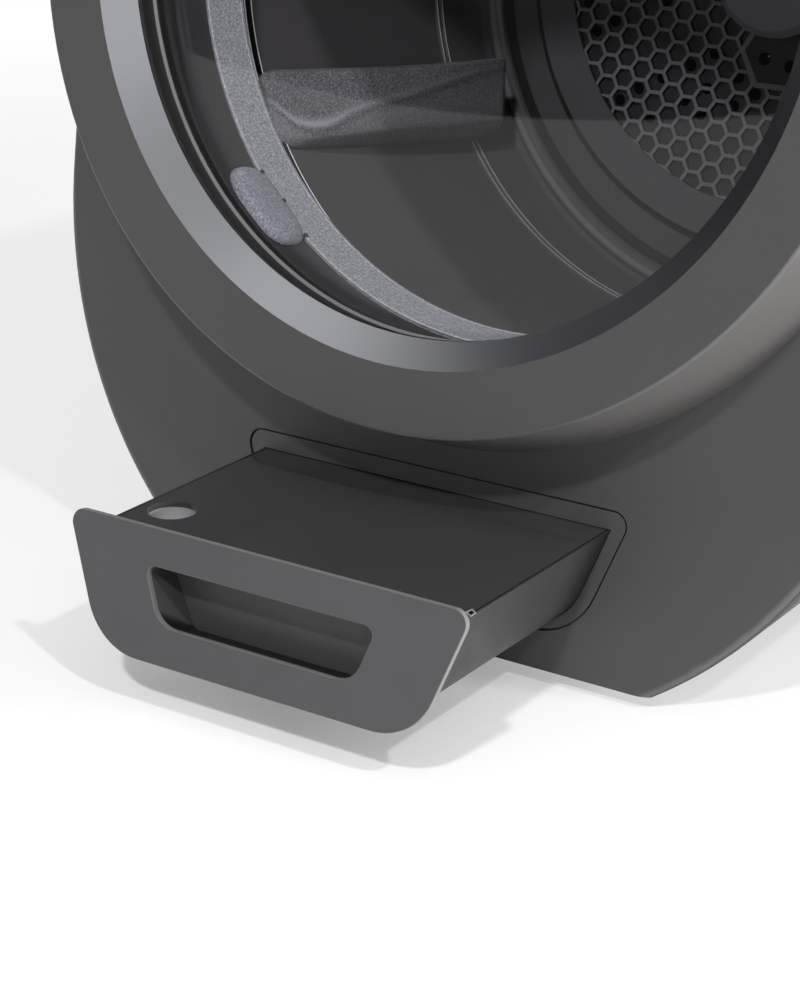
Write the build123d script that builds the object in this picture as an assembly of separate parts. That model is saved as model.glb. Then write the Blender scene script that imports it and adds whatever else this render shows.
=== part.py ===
from build123d import *

import math
import os

# A compact tumble dryer with a round, leaning front, drawn with its water tank pulled out.
# Millimetres and degrees. X is to the right, Y into the machine and Z up.
# The origin is on the floor, under the middle of the front foot.
# Front, door and drum share one leaning axis. Their sizes along it are depths behind the door's front edge.

# Stance
FRONT_TILT = 8.5
FOOT_HEIGHT = 7.0
FOOT_WIDTH = 18.0
FOOT_LENGTH = 160.0
FRONT_FOOT_SETBACK = 60.0
REAR_FOOT_INSET = 45.0

# Cabinet
SILL_HEIGHT = 20.6
CABINET_DEPTH = 440.0
CABINET_MARGIN = 3.0
BASE_HALF = 117.0
SHELL_WALL = 3.0
FACE_WALL = 5.0
FASCIA_DEPTH = 12.0
FASCIA_EDGE = 3.5
REAR_WALL = 3.0
BASE_WALL = 3.0
FIT = 0.3

# Rear panel
VENT_COUNT = 13
VENT_WIDTH = 5.0
VENT_HEIGHT = 90.0
VENT_PITCH = 14.0
VENT_RISE = 23.0
INLET_X = 70.0
INLET_HEIGHT = 62.0
INLET_WIDTH = 28.0
INLET_TALL = 20.0
INLET_DEPTH = 24.0
INLET_RIM = 8.0
INLET_FLANGE = 2.0
REAR_SCREW_COUNT = 8
REAR_SCREW_START = -45.0
REAR_SCREW_SWEEP = 270.0
REAR_SCREW_INSET = 12.0
SCREW_RADIUS = 1.6
SCREW_HEAD_RADIUS = 3.6
SCREW_HEAD_HEIGHT = 2.0

# Door
DOOR_RADIUS = 200.0
RING_FLARE = 10.0
RING_DEPTH = 41.4
RING_WALL = 3.0
RING_EDGE = 1.6
DOOR_GAP = 0.3
DOOR_RIM = 39.5
BEVEL_WIDTH = 11.3
BEVEL_DROP = 12.2
BEVEL_SETBACK = 1.0
BEVEL_WALL = 2.8
GLASS_SETBACK = 27.6
GLASS_WALL = 4.0
GLASS_LAND = 8.5
GASKET_FLARE = 2.7
BEAD_WIDTH = 1.2
BEAD_HEIGHT = 1.0
COVER_WALL = 3.0
CLAMP_LIP = 4.5

# Hinge, strike and lock
HINGE_INSET = 2.0
HINGE_RISE = 5.7
HINGE_PIN_RADIUS = 2.2
HINGE_RADIUS = 4.2
HINGE_LENGTH = 72.0
LEAF_LENGTH = 26.0
LEAF_REACH = 28.0
LEAF_WALL = 4.0
BRACKET_WALL = 1.5
BRACKET_REACH = 11.0
BRACKET_OVERHANG = 4.0
HINGE_NOTCH_MARGIN = 2.0
HINGE_NOTCH_RISE = 9.0
PIN_FIT = 0.05
STRIKE_WALL = 4.0
STRIKE_WIDTH = 16.0
STRIKE_LENGTH = 14.6
STRIKE_SLOT_GAP = 1.5
LOCK_EDGE_GAP = 1.5
LOCK_WIDTH = 22.0
LOCK_TALL = 44.0
LOCK_DEPTH = 24.0
BOLT_RADIUS = 2.5
BOLT_LENGTH = 8.0
BOLT_GAP = 0.6
BOLT_HOLE_GAP = 0.8

# Mouth
MOUTH_MARGIN = 12.5
DUCT_WALL = 3.0
DUCT_FLANGE = 5.0
DUCT_INSET = 0.5
COLLAR_INSET = 3.0
COLLAR_DRAW_IN = 3.6
COLLAR_STEP = 1.5
COLLAR_DEPTH = 78.0
COLLAR_LENGTH = 20.0
COLLAR_LIP = 2.0
LAMP_ANGLE = -132.7
LAMP_SPAN = 14.5
LAMP_LENGTH = 27.0
LAMP_GAP = 0.6
LAMP_RISE = 4.2
LAMP_CORNER = 11.0
LAMP_EDGE = 3.8

# Drum
DRUM_MARGIN = 9.0
DRUM_WALL = 1.5
DRIVE_SPACE = 97.3
DRUM_FRONT_GAP = 3.0
DRUM_LIP = 10.0
DRUM_CORNER = 9.0
DRUM_FLANGE = 17.0
DRUM_BEAD = 1.0
DRUM_BEAD_PITCH = 5.0
FRONT_BEAD_INSET = 16.5
REAR_BEAD_INSET = 52.0
DISH_INSET = 38.5
DISH_RISE = 6.5
GROOVE_WIDTH = 3.0
GROOVE_DEPTH = 3.5
REAR_SHEET = 2.0
GRILLE_INSET = 21.5
GRILLE_WALL = 2.0
GRILLE_SEAT = 8.0
LIFTER_COUNT = 3
LIFTER_ANGLE = -151.2
LIFTER_HALF_ANGLE = 7.1
LIFTER_ROOT = 8.0
# Lifter sections: share of the drum's length, then angle from the lifter's middle and height of the upper
# shoulder, the ridge and the lower shoulder.
LIFTER_SECTIONS = (
    (0.058, -5.0, 1.5, -3.8, 2.5, 4.2, 2.0),
    (0.082, -5.6, 3.5, -1.2, 5.0, 5.0, 3.5),
    (0.115, -5.8, 6.0, 2.1, 8.0, 5.6, 5.5),
    (0.189, -5.8, 9.5, 3.4, 13.0, 6.0, 9.0),
    (0.287, -5.5, 15.5, 1.6, 18.0, 6.2, 12.0),
    (0.485, -5.0, 25.0, -0.5, 26.0, 6.3, 16.0),
    (0.682, -5.2, 31.0, -3.2, 30.6, 6.3, 17.5),
    (0.842, -5.8, 31.5, -5.0, 31.8, 6.0, 18.0),
)
HUB_RADIUS = 34.5
HUB_HEIGHT = 9.0
HUB_CHAMFER = 3.5
HUB_DIMPLE_RADIUS = 16.0
HUB_DIMPLE_DEPTH = 1.2
HUB_BOSS_RADIUS = 14.0
LOBE_COUNT = 3
LOBE_ANGLE = -86.5
LOBE_DISTANCE = 42.0
LOBE_RADIUS = 22.0
LOBE_WALL = 1.6
HUB_SCREW_DISTANCE = 46.0
HUB_SCREW_SPREAD = 7.0
HUB_SCREW_RADIUS = 2.3
HUB_SCREW_HEIGHT = 1.2

# Drum carrier and drive
SPIDER_HUB_RADIUS = 30.0
SPIDER_ARM_WIDTH = 24.0
SPIDER_WALL = 8.0
SPIDER_INSET = 22.0
SHAFT_RADIUS = 10.0
SHAFT_BITE = 12.0
BULKHEAD_GAP = 4.0
BULKHEAD_WALL = 2.0
BULKHEAD_FOOT_HEIGHT = 93.0
BULKHEAD_BORE = 15.0
BEARING_RADIUS = 21.0
BEARING_WIDTH = 10.0
BEARING_SPREAD = 16.0
BEARING_INSET = 2.0
HOUSING_WALL = 7.0
HOUSING_FLANGE_RADIUS = 44.0
HOUSING_FLANGE_WALL = 4.0
HOUSING_LIP = 2.5
RUN_FIT = 0.05
PULLEY_GAP = 3.0
PULLEY_WIDTH = 14.0
PULLEY_RADIUS = 80.0
PULLEY_RIM = 6.0
PULLEY_WEB = 4.0
PULLEY_BOSS_RADIUS = 22.0
FLANGE_RISE = 4.0
FLANGE_WALL = 1.5
BELT_WALL = 3.0
BELT_SIDE_GAP = 0.5
SHAFT_TAIL = 4.0
MOTOR_HEIGHT = 47.2
MOTOR_CLEARANCE = 7.6
MOTOR_RADIUS = 33.0
MOTOR_LENGTH = 80.0
MOTOR_GAP = 7.0
MOTOR_SHAFT_RADIUS = 5.0
MOTOR_SHAFT_BITE = 60.0
MOTOR_PULLEY_RADIUS = 10.0
CRADLE_WIDTH = 38.0
CRADLE_LENGTH = 40.0

# Air path
FAN_X = -88.0
FAN_RISE = 92.0
FAN_RADIUS = 46.0
FAN_WIDTH = 20.0
FAN_BLADES = 12
FAN_BLADE_WALL = 2.0
FAN_HUB_RADIUS = 12.0
FAN_SHAFT_RADIUS = 3.0
FAN_SHAFT_TAIL = 14.0
FAN_CLEAR = 6.0
FAN_GAP = 3.0
FAN_HOUSING_WALL = 3.0
FAN_INLET_RADIUS = 36.0
FAN_MOTOR_RADIUS = 20.0
FAN_MOTOR_LENGTH = 18.0
HEATER_X = 95.0
HEATER_RISE = 85.0
HEATER_WIDTH = 84.0
HEATER_TALL = 60.0
HEATER_DEPTH = 16.0
HEATER_RIM = 5.0
CONDENSER_X = -70.0
CONDENSER_WIDTH = 70.0
CONDENSER_LENGTH = 110.0
CONDENSER_TALL = 48.0

# Water tank drawer
PULL_OUT = 121.1
PLATE_MARGIN = 12.0
PLATE_TALL = 57.4
PLATE_HALF = 99.2
SIDE_SLOPE = 0.362
PLATE_TOP_CORNER = 6.0
PLATE_BOTTOM_CORNER = 28.5
PLATE_WALL = 2.5
PLATE_EDGE = 0.5
PLATE_SEAT = 0.5
SEAM_WIDTH = 0.9
SEAM_DEPTH = 2.0
TANK_SIDE_INSET = 6.8
TANK_BOTTOM_INSET = 2.5
TANK_ROOM = 197.6
TANK_WALL = 2.5
TANK_CORNER = 26.0
LID_DROP = 8.1
LID_WALL = 2.5
LID_RIM = 1.0
LID_SEAM = 0.5
LID_HOLE_X = -74.0
LID_HOLE_SETBACK = 38.0
LID_HOLE_RADIUS = 10.8
SLEEVE_WALL = 1.5
SLEEVE_LENGTH = 14.0
TANK_OPENING_GAP = 0.4
GRIP_DROP = 16.1
GRIP_TALL = 24.5
GRIP_HALF = 57.0
GRIP_TOP_CORNER = 4.0
GRIP_BOTTOM_CORNER = 12.0
GRIP_DEPTH = 18.0
GRIP_END_HALF = 58.0
GRIP_END_SLOPE = 0.55
GRIP_END_CORNER = 3.0
GRIP_FLOOR_DROP = 3.4
GRIP_WALL = 2.0
BAY_GAP = 0.5
BAY_WALL = 2.0
BAY_REAR_GAP = 3.0
BAY_LEG_LENGTH = 10.0
BAY_LEG_WIDTH = 100.0
BAY_LEG_INSET = 40.0
SPOUT_RADIUS = 6.0
SPOUT_BORE = 3.5
SPOUT_HEIGHT = 14.0

# Drain
PUMP_RADIUS = 19.0
PUMP_LENGTH = 55.0
PUMP_GAP = 30.0
PIPE_RADIUS = 4.0
PIPE_BORE = 2.6
PIPE_BEND = 9.0
PIPE_SIDE_GAP = 24.0
PIPE_RISE = 8.0

# Controls
CONSOLE_SETBACK = 100.0
CONSOLE_WIDTH = 120.0
CONSOLE_LENGTH = 46.0
CONSOLE_RISE = 2.0
CONSOLE_EDGE = 1.2
CONSOLE_STEP = 6.0
CONSOLE_WALL = 3.0
CONSOLE_DEPTH = 18.0
DISPLAY_WIDTH = 50.0
DISPLAY_LENGTH = 16.0
DISPLAY_WALL = 1.2
BUTTON_X = 42.0
BUTTON_RADIUS = 6.0
BUTTON_RISE = 1.5
BUTTON_TRAVEL = 1.2
BUTTON_FLANGE = 1.2
BUTTON_STEM_RADIUS = 2.0
BOARD_WALL = 1.6
BOARD_DROP = 11.0
SWITCH_SIZE = 6.0
SWITCH_HEIGHT = 4.0

# Places that follow from the sizes above
SINE = math.sin(math.radians(FRONT_TILT))
COSINE = math.cos(math.radians(FRONT_TILT))
SIDE_LEAN = math.hypot(1.0, SIDE_SLOPE)
RING_FOOT_RADIUS = DOOR_RADIUS + RING_FLARE
CABINET_RADIUS = RING_FOOT_RADIUS + CABINET_MARGIN
PLATE_DROP = RING_FOOT_RADIUS + PLATE_MARGIN
BASE_Z = FOOT_HEIGHT
DOOR_Y = -FRONT_FOOT_SETBACK
DOOR_Z = BASE_Z + SILL_HEIGHT + PLATE_TALL + PLATE_DROP
REAR_Y = DOOR_Y + CABINET_DEPTH
FLOOR_Z = BASE_Z + BASE_WALL
FACE = -RING_DEPTH - DOOR_GAP
UPPER_ARC_Z = DOOR_Z + FACE * SINE
LOWER_ARC_Z = BASE_Z + math.sqrt(CABINET_RADIUS * CABINET_RADIUS - BASE_HALF * BASE_HALF)
TOP_Z = UPPER_ARC_Z + CABINET_RADIUS
FAR = 2.0 * (CABINET_DEPTH + CABINET_RADIUS)
front_plane = Plane(origin=(0, DOOR_Y, DOOR_Z), x_dir=(1, 0, 0), z_dir=(0, -COSINE, SINE))
front_axis = Axis(front_plane.origin, front_plane.z_dir)

WINDOW_RADIUS = DOOR_RADIUS - DOOR_RIM
MOUTH_RADIUS = WINDOW_RADIUS + MOUTH_MARGIN
DRUM_RADIUS = MOUTH_RADIUS + DRUM_MARGIN
GLASS_FRONT = -GLASS_SETBACK
GLASS_BACK = GLASS_FRONT - GLASS_WALL
GLASS_RADIUS = WINDOW_RADIUS + GLASS_LAND
COVER_FRONT = COVER_WALL - RING_DEPTH
BEVEL_FOOT = -BEVEL_SETBACK - BEVEL_DROP - BEVEL_WALL
HINGE_X = HINGE_INSET - RING_FOOT_RADIUS
HINGE_H = FACE + HINGE_RISE
LOCK_X = CABINET_RADIUS - FACE_WALL - LOCK_EDGE_GAP - LOCK_WIDTH / 2
PANEL_BACK = FACE - FACE_WALL
FASCIA_BACK = FACE - FASCIA_DEPTH

COLLAR_FRONT_RADIUS = MOUTH_RADIUS - COLLAR_INSET
COLLAR_REAR_RADIUS = COLLAR_FRONT_RADIUS - COLLAR_DRAW_IN
DUCT_REAR_RADIUS = COLLAR_FRONT_RADIUS + COLLAR_STEP
COLLAR_END = -COLLAR_DEPTH - COLLAR_LENGTH - COLLAR_LIP
DRUM_FRONT = COLLAR_END - DRUM_FRONT_GAP
DRUM_REAR = (DRIVE_SPACE - CABINET_DEPTH) / COSINE
DRUM_LENGTH = DRUM_FRONT - DRUM_REAR
DRUM_OUTER = DRUM_RADIUS + DRUM_WALL
DRUM_LIP_RADIUS = DRUM_RADIUS - DRUM_LIP
DRUM_FLANGE_RADIUS = DRUM_RADIUS - DRUM_FLANGE
DISH_RADIUS = DRUM_RADIUS - DISH_INSET
GRILLE_RADIUS = DISH_RADIUS - GRILLE_INSET
DISH_FACE = DRUM_REAR + DISH_RISE
GROOVE_BACK = DRUM_REAR - GROOVE_DEPTH - REAR_SHEET
GRILLE_BACK = DISH_FACE - REAR_SHEET - GRILLE_WALL
SPIDER_BACK = GROOVE_BACK - SPIDER_WALL
BULKHEAD_FRONT = SPIDER_BACK - BULKHEAD_GAP
BULKHEAD_BACK = BULKHEAD_FRONT - BULKHEAD_WALL
HOUSING_BACK = BULKHEAD_BACK - BEARING_INSET - BEARING_WIDTH - BEARING_SPREAD - HOUSING_LIP
PULLEY_FRONT = HOUSING_BACK - PULLEY_GAP
PULLEY_BACK = PULLEY_FRONT - PULLEY_WIDTH
SHAFT_FRONT = SPIDER_BACK + SHAFT_BITE
SHAFT_BACK = PULLEY_BACK - SHAFT_TAIL
MOTOR_BACK = PULLEY_FRONT + MOTOR_GAP
MOTOR_DISTANCE = DRUM_OUTER + MOTOR_RADIUS + MOTOR_CLEARANCE
MOTOR_MIDDLE = MOTOR_BACK + MOTOR_LENGTH / 2
MOTOR_V = (BASE_Z + MOTOR_HEIGHT - DOOR_Z - MOTOR_MIDDLE * SINE) / COSINE
MOTOR_X = math.sqrt(MOTOR_DISTANCE * MOTOR_DISTANCE - MOTOR_V * MOTOR_V)


def height_of(depth, rise):
    """Height above the floor of a point on the leaning front's own axes."""
    return DOOR_Z + depth * SINE + rise * COSINE


def plane_y(depth, height):
    """Y of the leaning plane at one depth, where it passes a height."""
    rise = (height - DOOR_Z - depth * SINE) / COSINE
    return DOOR_Y - depth * COSINE + rise * SINE


PLATE_TOP_Z = height_of(FACE, -PLATE_DROP)
LID_Z = PLATE_TOP_Z - LID_DROP
TANK_BOTTOM_Z = height_of(FACE, -PLATE_DROP - PLATE_TALL) + TANK_BOTTOM_INSET
TANK_HALF = PLATE_HALF - LID_DROP / COSINE * SIDE_SLOPE - TANK_SIDE_INSET
PLATE_BACK = FACE - PLATE_SEAT + FIT
PLATE_FRONT = PLATE_BACK + PLATE_WALL
TANK_BACK_Y = REAR_Y - TANK_ROOM
LID_HOLE_Y = plane_y(PLATE_FRONT, LID_Z) + LID_HOLE_SETBACK
BAY_ROOF_Z = LID_Z + BAY_GAP + BAY_WALL
BAY_BOTTOM_Z = TANK_BOTTOM_Z - BAY_GAP - BAY_WALL
BAY_BACK_Y = TANK_BACK_Y + BAY_REAR_GAP + BAY_WALL
PUMP_FRONT_Y = BAY_BACK_Y + PUMP_GAP
PUMP_Z = FLOOR_Z + PUMP_RADIUS
CONSOLE_Y = DOOR_Y + CONSOLE_SETBACK + CONSOLE_LENGTH / 2
CONSOLE_TOP = TOP_Z + CONSOLE_RISE
CONSOLE_CEILING = CONSOLE_TOP - CONSOLE_WALL
BOARD_TOP = CONSOLE_CEILING - BOARD_DROP
CAVITY_WIDTH = CONSOLE_WIDTH - 2 * CONSOLE_STEP - 2 * CONSOLE_WALL
CAVITY_LENGTH = CONSOLE_LENGTH - 2 * CONSOLE_STEP - 2 * CONSOLE_WALL


def leaning(shape):
    """Stand a shape drawn on the front's own axes in its place in the machine."""
    return front_plane * shape


def turned(profile):
    """Ring about the drum axis from points of radius and depth."""
    face = make_face(Polyline(*profile, close=True))
    return revolve(Plane.XZ * face, Axis.Z)


def rounded(face, point, radius):
    """Round the corner of a drawn face that lies nearest to a point."""
    corner = face.vertices().sort_by_distance(Vector(point[0], point[1], 0))[0]
    return fillet(corner, radius)


def rod(radius, front, back, x=0.0, rise=0.0):
    """Round bar along the drum axis, between two depths."""
    return Pos(x, rise, (front + back) / 2) * Cylinder(radius, front - back)


def block(width, tall, front, back, x=0.0, rise=0.0):
    """Square block along the drum axis, between two depths."""
    return Pos(x, rise, (front + back) / 2) * Box(width, tall, front - back)


def behind(depth):
    """All the space behind one leaning plane."""
    return leaning(block(FAR, FAR, depth, depth - FAR))


def along_y(face, front, back):
    """Run a face drawn in X and Z straight back."""
    return extrude(Pos(0, front, 0) * (Plane.XZ * face), amount=back - front, dir=(0, 1, 0))


def upright(width, length, bottom, top, x, y):
    """Square block standing between two heights."""
    return Pos(x, y, (bottom + top) / 2) * Box(width, length, top - bottom)


def cabinet_outline(inset, floor):
    """Cabinet section in X and Z: two arcs joined by straight sides, cut flat at the floor."""
    radius = CABINET_RADIUS - inset
    drop = LOWER_ARC_Z - floor
    half = math.sqrt(radius * radius - drop * drop)
    corner = math.degrees(math.asin(drop / radius))
    return make_face(
        [
            Line((-half, floor), (half, floor)),
            CenterArc((0, LOWER_ARC_Z), radius, -corner, corner),
            Line((radius, LOWER_ARC_Z), (radius, UPPER_ARC_Z)),
            CenterArc((0, UPPER_ARC_Z), radius, 0, 180),
            Line((-radius, UPPER_ARC_Z), (-radius, LOWER_ARC_Z)),
            CenterArc((0, LOWER_ARC_Z), radius, 180, corner),
        ]
    )


def drawer_outline(top, bottom, half_top, top_radius, bottom_radius, slope=SIDE_SLOPE):
    """Tray shape with sloping sides, from its top and bottom edges and its half width at the top."""
    half_bottom = half_top - (top - bottom) * slope
    corners = [(-half_bottom, bottom), (half_bottom, bottom), (half_top, top), (-half_top, top)]
    face = make_face(Polyline(*corners, close=True))
    face = fillet(face.vertices().group_by(Axis.Y)[0], bottom_radius)
    if top_radius > 0:
        face = fillet(face.vertices().group_by(Axis.Y)[-1], top_radius)
    return face


def plate_outline(grow):
    """Tank front plate on the leaning front, grown by a gap."""
    return drawer_outline(
        grow - PLATE_DROP,
        -PLATE_DROP - PLATE_TALL - grow,
        PLATE_HALF + grow * SIDE_LEAN + grow * SIDE_SLOPE,
        PLATE_TOP_CORNER + grow,
        PLATE_BOTTOM_CORNER + grow,
    )


def tank_outline(grow, top):
    """Tank section in X and Z up to a height, grown on its sides and bottom."""
    half_top = TANK_HALF + grow * SIDE_LEAN - (LID_Z - top) * SIDE_SLOPE
    return drawer_outline(top, TANK_BOTTOM_Z - grow, half_top, 0, TANK_CORNER + grow)


def grip_outline(grow):
    """Finger window in the tank front plate."""
    top = -PLATE_DROP - GRIP_DROP
    return drawer_outline(
        top + grow,
        top - GRIP_TALL - grow,
        GRIP_HALF + grow * SIDE_LEAN + grow * SIDE_SLOPE,
        GRIP_TOP_CORNER + grow,
        GRIP_BOTTOM_CORNER + grow,
    )


def grip_end_outline(grow):
    """End of the finger pocket, with a lower floor and sides that slope more."""
    top = -PLATE_DROP - GRIP_DROP
    return drawer_outline(
        top + grow,
        top - GRIP_TALL - GRIP_FLOOR_DROP - grow,
        GRIP_END_HALF + 2 * grow,
        GRIP_END_CORNER + grow,
        GRIP_END_CORNER + grow,
        GRIP_END_SLOPE,
    )


def grip_pocket(grow):
    """Finger pocket behind the tank front plate, widening towards its end."""
    mouth = Pos(0, 0, PLATE_BACK) * grip_outline(grow)
    end = Pos(0, 0, PLATE_FRONT - GRIP_DEPTH - grow) * grip_end_outline(grow)
    return leaning(loft([mouth, end]))


# Cabinet pieces


def make_front_panel():
    panel = along_y(cabinet_outline(0, BASE_Z), -FAR, FAR) & leaning(block(FAR, FAR, FACE, FASCIA_BACK))
    panel = fillet(panel.faces().sort_by(front_axis)[-1].edges(), FASCIA_EDGE)
    panel -= along_y(cabinet_outline(FACE_WALL, BASE_Z + FACE_WALL), -FAR, FAR) & behind(PANEL_BACK)
    panel -= leaning(rod(MOUTH_RADIUS + DUCT_WALL + FIT, 0, -FAR))
    panel -= leaning(Pos(0, 0, FACE - PLATE_SEAT) * extrude(plate_outline(0), FAR))
    seam = plate_outline(SEAM_WIDTH) - plate_outline(0)
    panel -= leaning(Pos(0, 0, FACE - SEAM_DEPTH) * extrude(seam, FAR))
    panel -= along_y(tank_outline(TANK_OPENING_GAP, LID_Z + TANK_OPENING_GAP), -FAR, FAR)
    slot = block(STRIKE_WALL + 2 * STRIKE_SLOT_GAP, STRIKE_WIDTH + 2 * STRIKE_SLOT_GAP, 0, -FAR, LOCK_X)
    return panel - leaning(slot)


def make_cabinet_shell():
    back = REAR_Y - REAR_WALL
    shell = along_y(cabinet_outline(0, BASE_Z) - cabinet_outline(SHELL_WALL, BASE_Z), -FAR, back)
    shell &= behind(FASCIA_BACK)
    shell &= upright(FAR, FAR, FLOOR_Z, FLOOR_Z + FAR, 0, 0)
    width = CONSOLE_WIDTH - 2 * CONSOLE_STEP + 2 * FIT
    length = CONSOLE_LENGTH - 2 * CONSOLE_STEP + 2 * FIT
    return shell - upright(width, length, UPPER_ARC_Z, TOP_Z + FIT, 0, CONSOLE_Y)


def make_base_tray():
    tray = along_y(cabinet_outline(0, BASE_Z), -FAR, REAR_Y - REAR_WALL) & behind(FASCIA_BACK)
    return tray & upright(FAR, FAR, BASE_Z, FLOOR_Z, 0, 0)


def rear_screw_places():
    """Screws spread round the rear panel, along its upper arc and sides."""
    radius = CABINET_RADIUS - REAR_SCREW_INSET
    places = []
    for number in range(REAR_SCREW_COUNT):
        turn = math.radians(REAR_SCREW_START + REAR_SCREW_SWEEP * number / (REAR_SCREW_COUNT - 1))
        centre = UPPER_ARC_Z if math.sin(turn) >= 0 else LOWER_ARC_Z
        places.append((radius * math.cos(turn), centre + radius * math.sin(turn)))
    return places


def make_rear_panel():
    panel = along_y(cabinet_outline(0, BASE_Z), REAR_Y - REAR_WALL, REAR_Y)
    for number in range(VENT_COUNT):
        x = (number - (VENT_COUNT - 1) / 2) * VENT_PITCH
        slot = Pos(x, DOOR_Z + VENT_RISE) * SlotOverall(VENT_HEIGHT, VENT_WIDTH, rotation=90)
        panel -= along_y(slot, REAR_Y - FAR, REAR_Y + FAR)
    inlet = Pos(INLET_X, INLET_HEIGHT) * Rectangle(INLET_WIDTH + 2 * FIT, INLET_TALL + 2 * FIT)
    panel -= along_y(inlet, REAR_Y - FAR, REAR_Y + FAR)
    for x, z in rear_screw_places():
        panel -= along_y(Pos(x, z) * Circle(SCREW_RADIUS), REAR_Y - FAR, REAR_Y + FAR)
    return panel


def make_rear_screws():
    screws = Part()
    for x, z in rear_screw_places():
        screws += along_y(Pos(x, z) * Circle(SCREW_RADIUS), REAR_Y - REAR_WALL, REAR_Y)
        screws += along_y(Pos(x, z) * Circle(SCREW_HEAD_RADIUS), REAR_Y, REAR_Y + SCREW_HEAD_HEIGHT)
    return screws


def make_power_inlet():
    middle = Pos(INLET_X, INLET_HEIGHT)
    body = along_y(middle * Rectangle(INLET_WIDTH, INLET_TALL), REAR_Y - INLET_DEPTH, REAR_Y)
    rim = middle * RectangleRounded(INLET_WIDTH + 2 * INLET_RIM, INLET_TALL + INLET_RIM, INLET_RIM / 2)
    body += along_y(rim, REAR_Y, REAR_Y + INLET_FLANGE)
    socket = middle * Rectangle(INLET_WIDTH - INLET_RIM / 2, INLET_TALL - INLET_RIM / 2)
    return body - along_y(socket, REAR_Y - INLET_DEPTH + INLET_RIM, REAR_Y + FAR)


def make_foot_strips():
    feet = Part()
    for y in (0, REAR_Y - REAR_FOOT_INSET):
        feet += Pos(0, y, 0) * extrude(SlotOverall(FOOT_LENGTH, FOOT_WIDTH), FOOT_HEIGHT)
    return feet


# Door pieces


def hinge_notch():
    """Room in the door for the hinge at its left edge."""
    tall = HINGE_LENGTH + 2 * BRACKET_OVERHANG + 2 * HINGE_NOTCH_MARGIN
    inner = HINGE_X + BRACKET_REACH + HINGE_NOTCH_MARGIN
    outer = HINGE_X - BRACKET_REACH
    top = HINGE_H + HINGE_NOTCH_RISE
    return block(inner - outer, tall, top, FACE, (inner + outer) / 2)


def make_door_ring():
    inner = WINDOW_RADIUS + BEVEL_WIDTH
    lean = RING_FLARE / RING_DEPTH
    outline = [
        (inner, -BEVEL_SETBACK),
        (DOOR_RADIUS, 0),
        (RING_FOOT_RADIUS, -RING_DEPTH),
        (RING_FOOT_RADIUS - RING_WALL, -RING_DEPTH),
        (DOOR_RADIUS - RING_WALL + lean * RING_WALL, -RING_WALL),
        (inner, -BEVEL_SETBACK - RING_WALL),
    ]
    face = make_face(Polyline(*outline, close=True))
    face = rounded(face, (DOOR_RADIUS, 0), RING_EDGE)
    return leaning(revolve(Plane.XZ * face, Axis.Z) - hinge_notch())


def make_door_bevel():
    top = -BEVEL_SETBACK
    foot = top - BEVEL_DROP
    outer = WINDOW_RADIUS + BEVEL_WIDTH
    outline = [
        (outer, top),
        (WINDOW_RADIUS, foot),
        (WINDOW_RADIUS, BEVEL_FOOT),
        (WINDOW_RADIUS + BEVEL_WALL, BEVEL_FOOT),
        (outer, top - RING_WALL),
    ]
    return leaning(turned(outline))


def make_glass_gasket():
    outline = [
        (WINDOW_RADIUS, BEVEL_FOOT),
        (WINDOW_RADIUS + GASKET_FLARE, GLASS_FRONT),
        (GLASS_RADIUS, GLASS_FRONT),
        (GLASS_RADIUS, BEVEL_FOOT),
    ]
    return leaning(turned(outline))


def make_silver_bead():
    outer = WINDOW_RADIUS + GASKET_FLARE - FIT
    outline = [
        (outer - BEAD_WIDTH, GLASS_FRONT),
        (outer, GLASS_FRONT),
        (outer, GLASS_FRONT + BEAD_HEIGHT),
        (outer - BEAD_WIDTH, GLASS_FRONT + BEAD_HEIGHT),
    ]
    return leaning(turned(outline))


def make_door_glass():
    return leaning(rod(GLASS_RADIUS, GLASS_FRONT, GLASS_BACK))


def make_glass_clamp():
    inner = GLASS_RADIUS - CLAMP_LIP
    outer = GLASS_RADIUS + CLAMP_LIP
    return leaning(rod(outer, GLASS_BACK, COVER_FRONT) - rod(inner, GLASS_BACK, COVER_FRONT))


def make_door_back_cover():
    lean = RING_FLARE / RING_DEPTH
    outer = RING_FOOT_RADIUS - RING_WALL - COVER_WALL * lean - FIT
    inner = GLASS_RADIUS - CLAMP_LIP
    cover = rod(outer, COVER_FRONT, -RING_DEPTH) - rod(inner, COVER_FRONT, -RING_DEPTH)
    return leaning(cover - hinge_notch())


def make_door_strike():
    tip = -RING_DEPTH - STRIKE_LENGTH
    strike = block(STRIKE_WALL, STRIKE_WIDTH, -RING_DEPTH, tip, LOCK_X)
    hole = Pos(LOCK_X, 0, bolt_depth()) * Rot(0, 90, 0) * Cylinder(BOLT_RADIUS + BOLT_HOLE_GAP, FAR)
    return leaning(strike - hole)


def knuckle(bottom, top, radius):
    """Hinge barrel stretch between two heights along the hinge line."""
    return Pos(HINGE_X, (bottom + top) / 2, HINGE_H) * Rot(90, 0, 0) * Cylinder(radius, top - bottom)


def make_hinge_leaf():
    half = LEAF_LENGTH / 2
    arm_front = COVER_FRONT + LEAF_WALL
    leaf = knuckle(-half, half, HINGE_RADIUS - FIT)
    leaf += block(LEAF_REACH, LEAF_LENGTH, arm_front, COVER_FRONT, HINGE_X + LEAF_REACH / 2)
    return leaning(leaf - knuckle(-LEAF_LENGTH, LEAF_LENGTH, HINGE_PIN_RADIUS + PIN_FIT))


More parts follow.
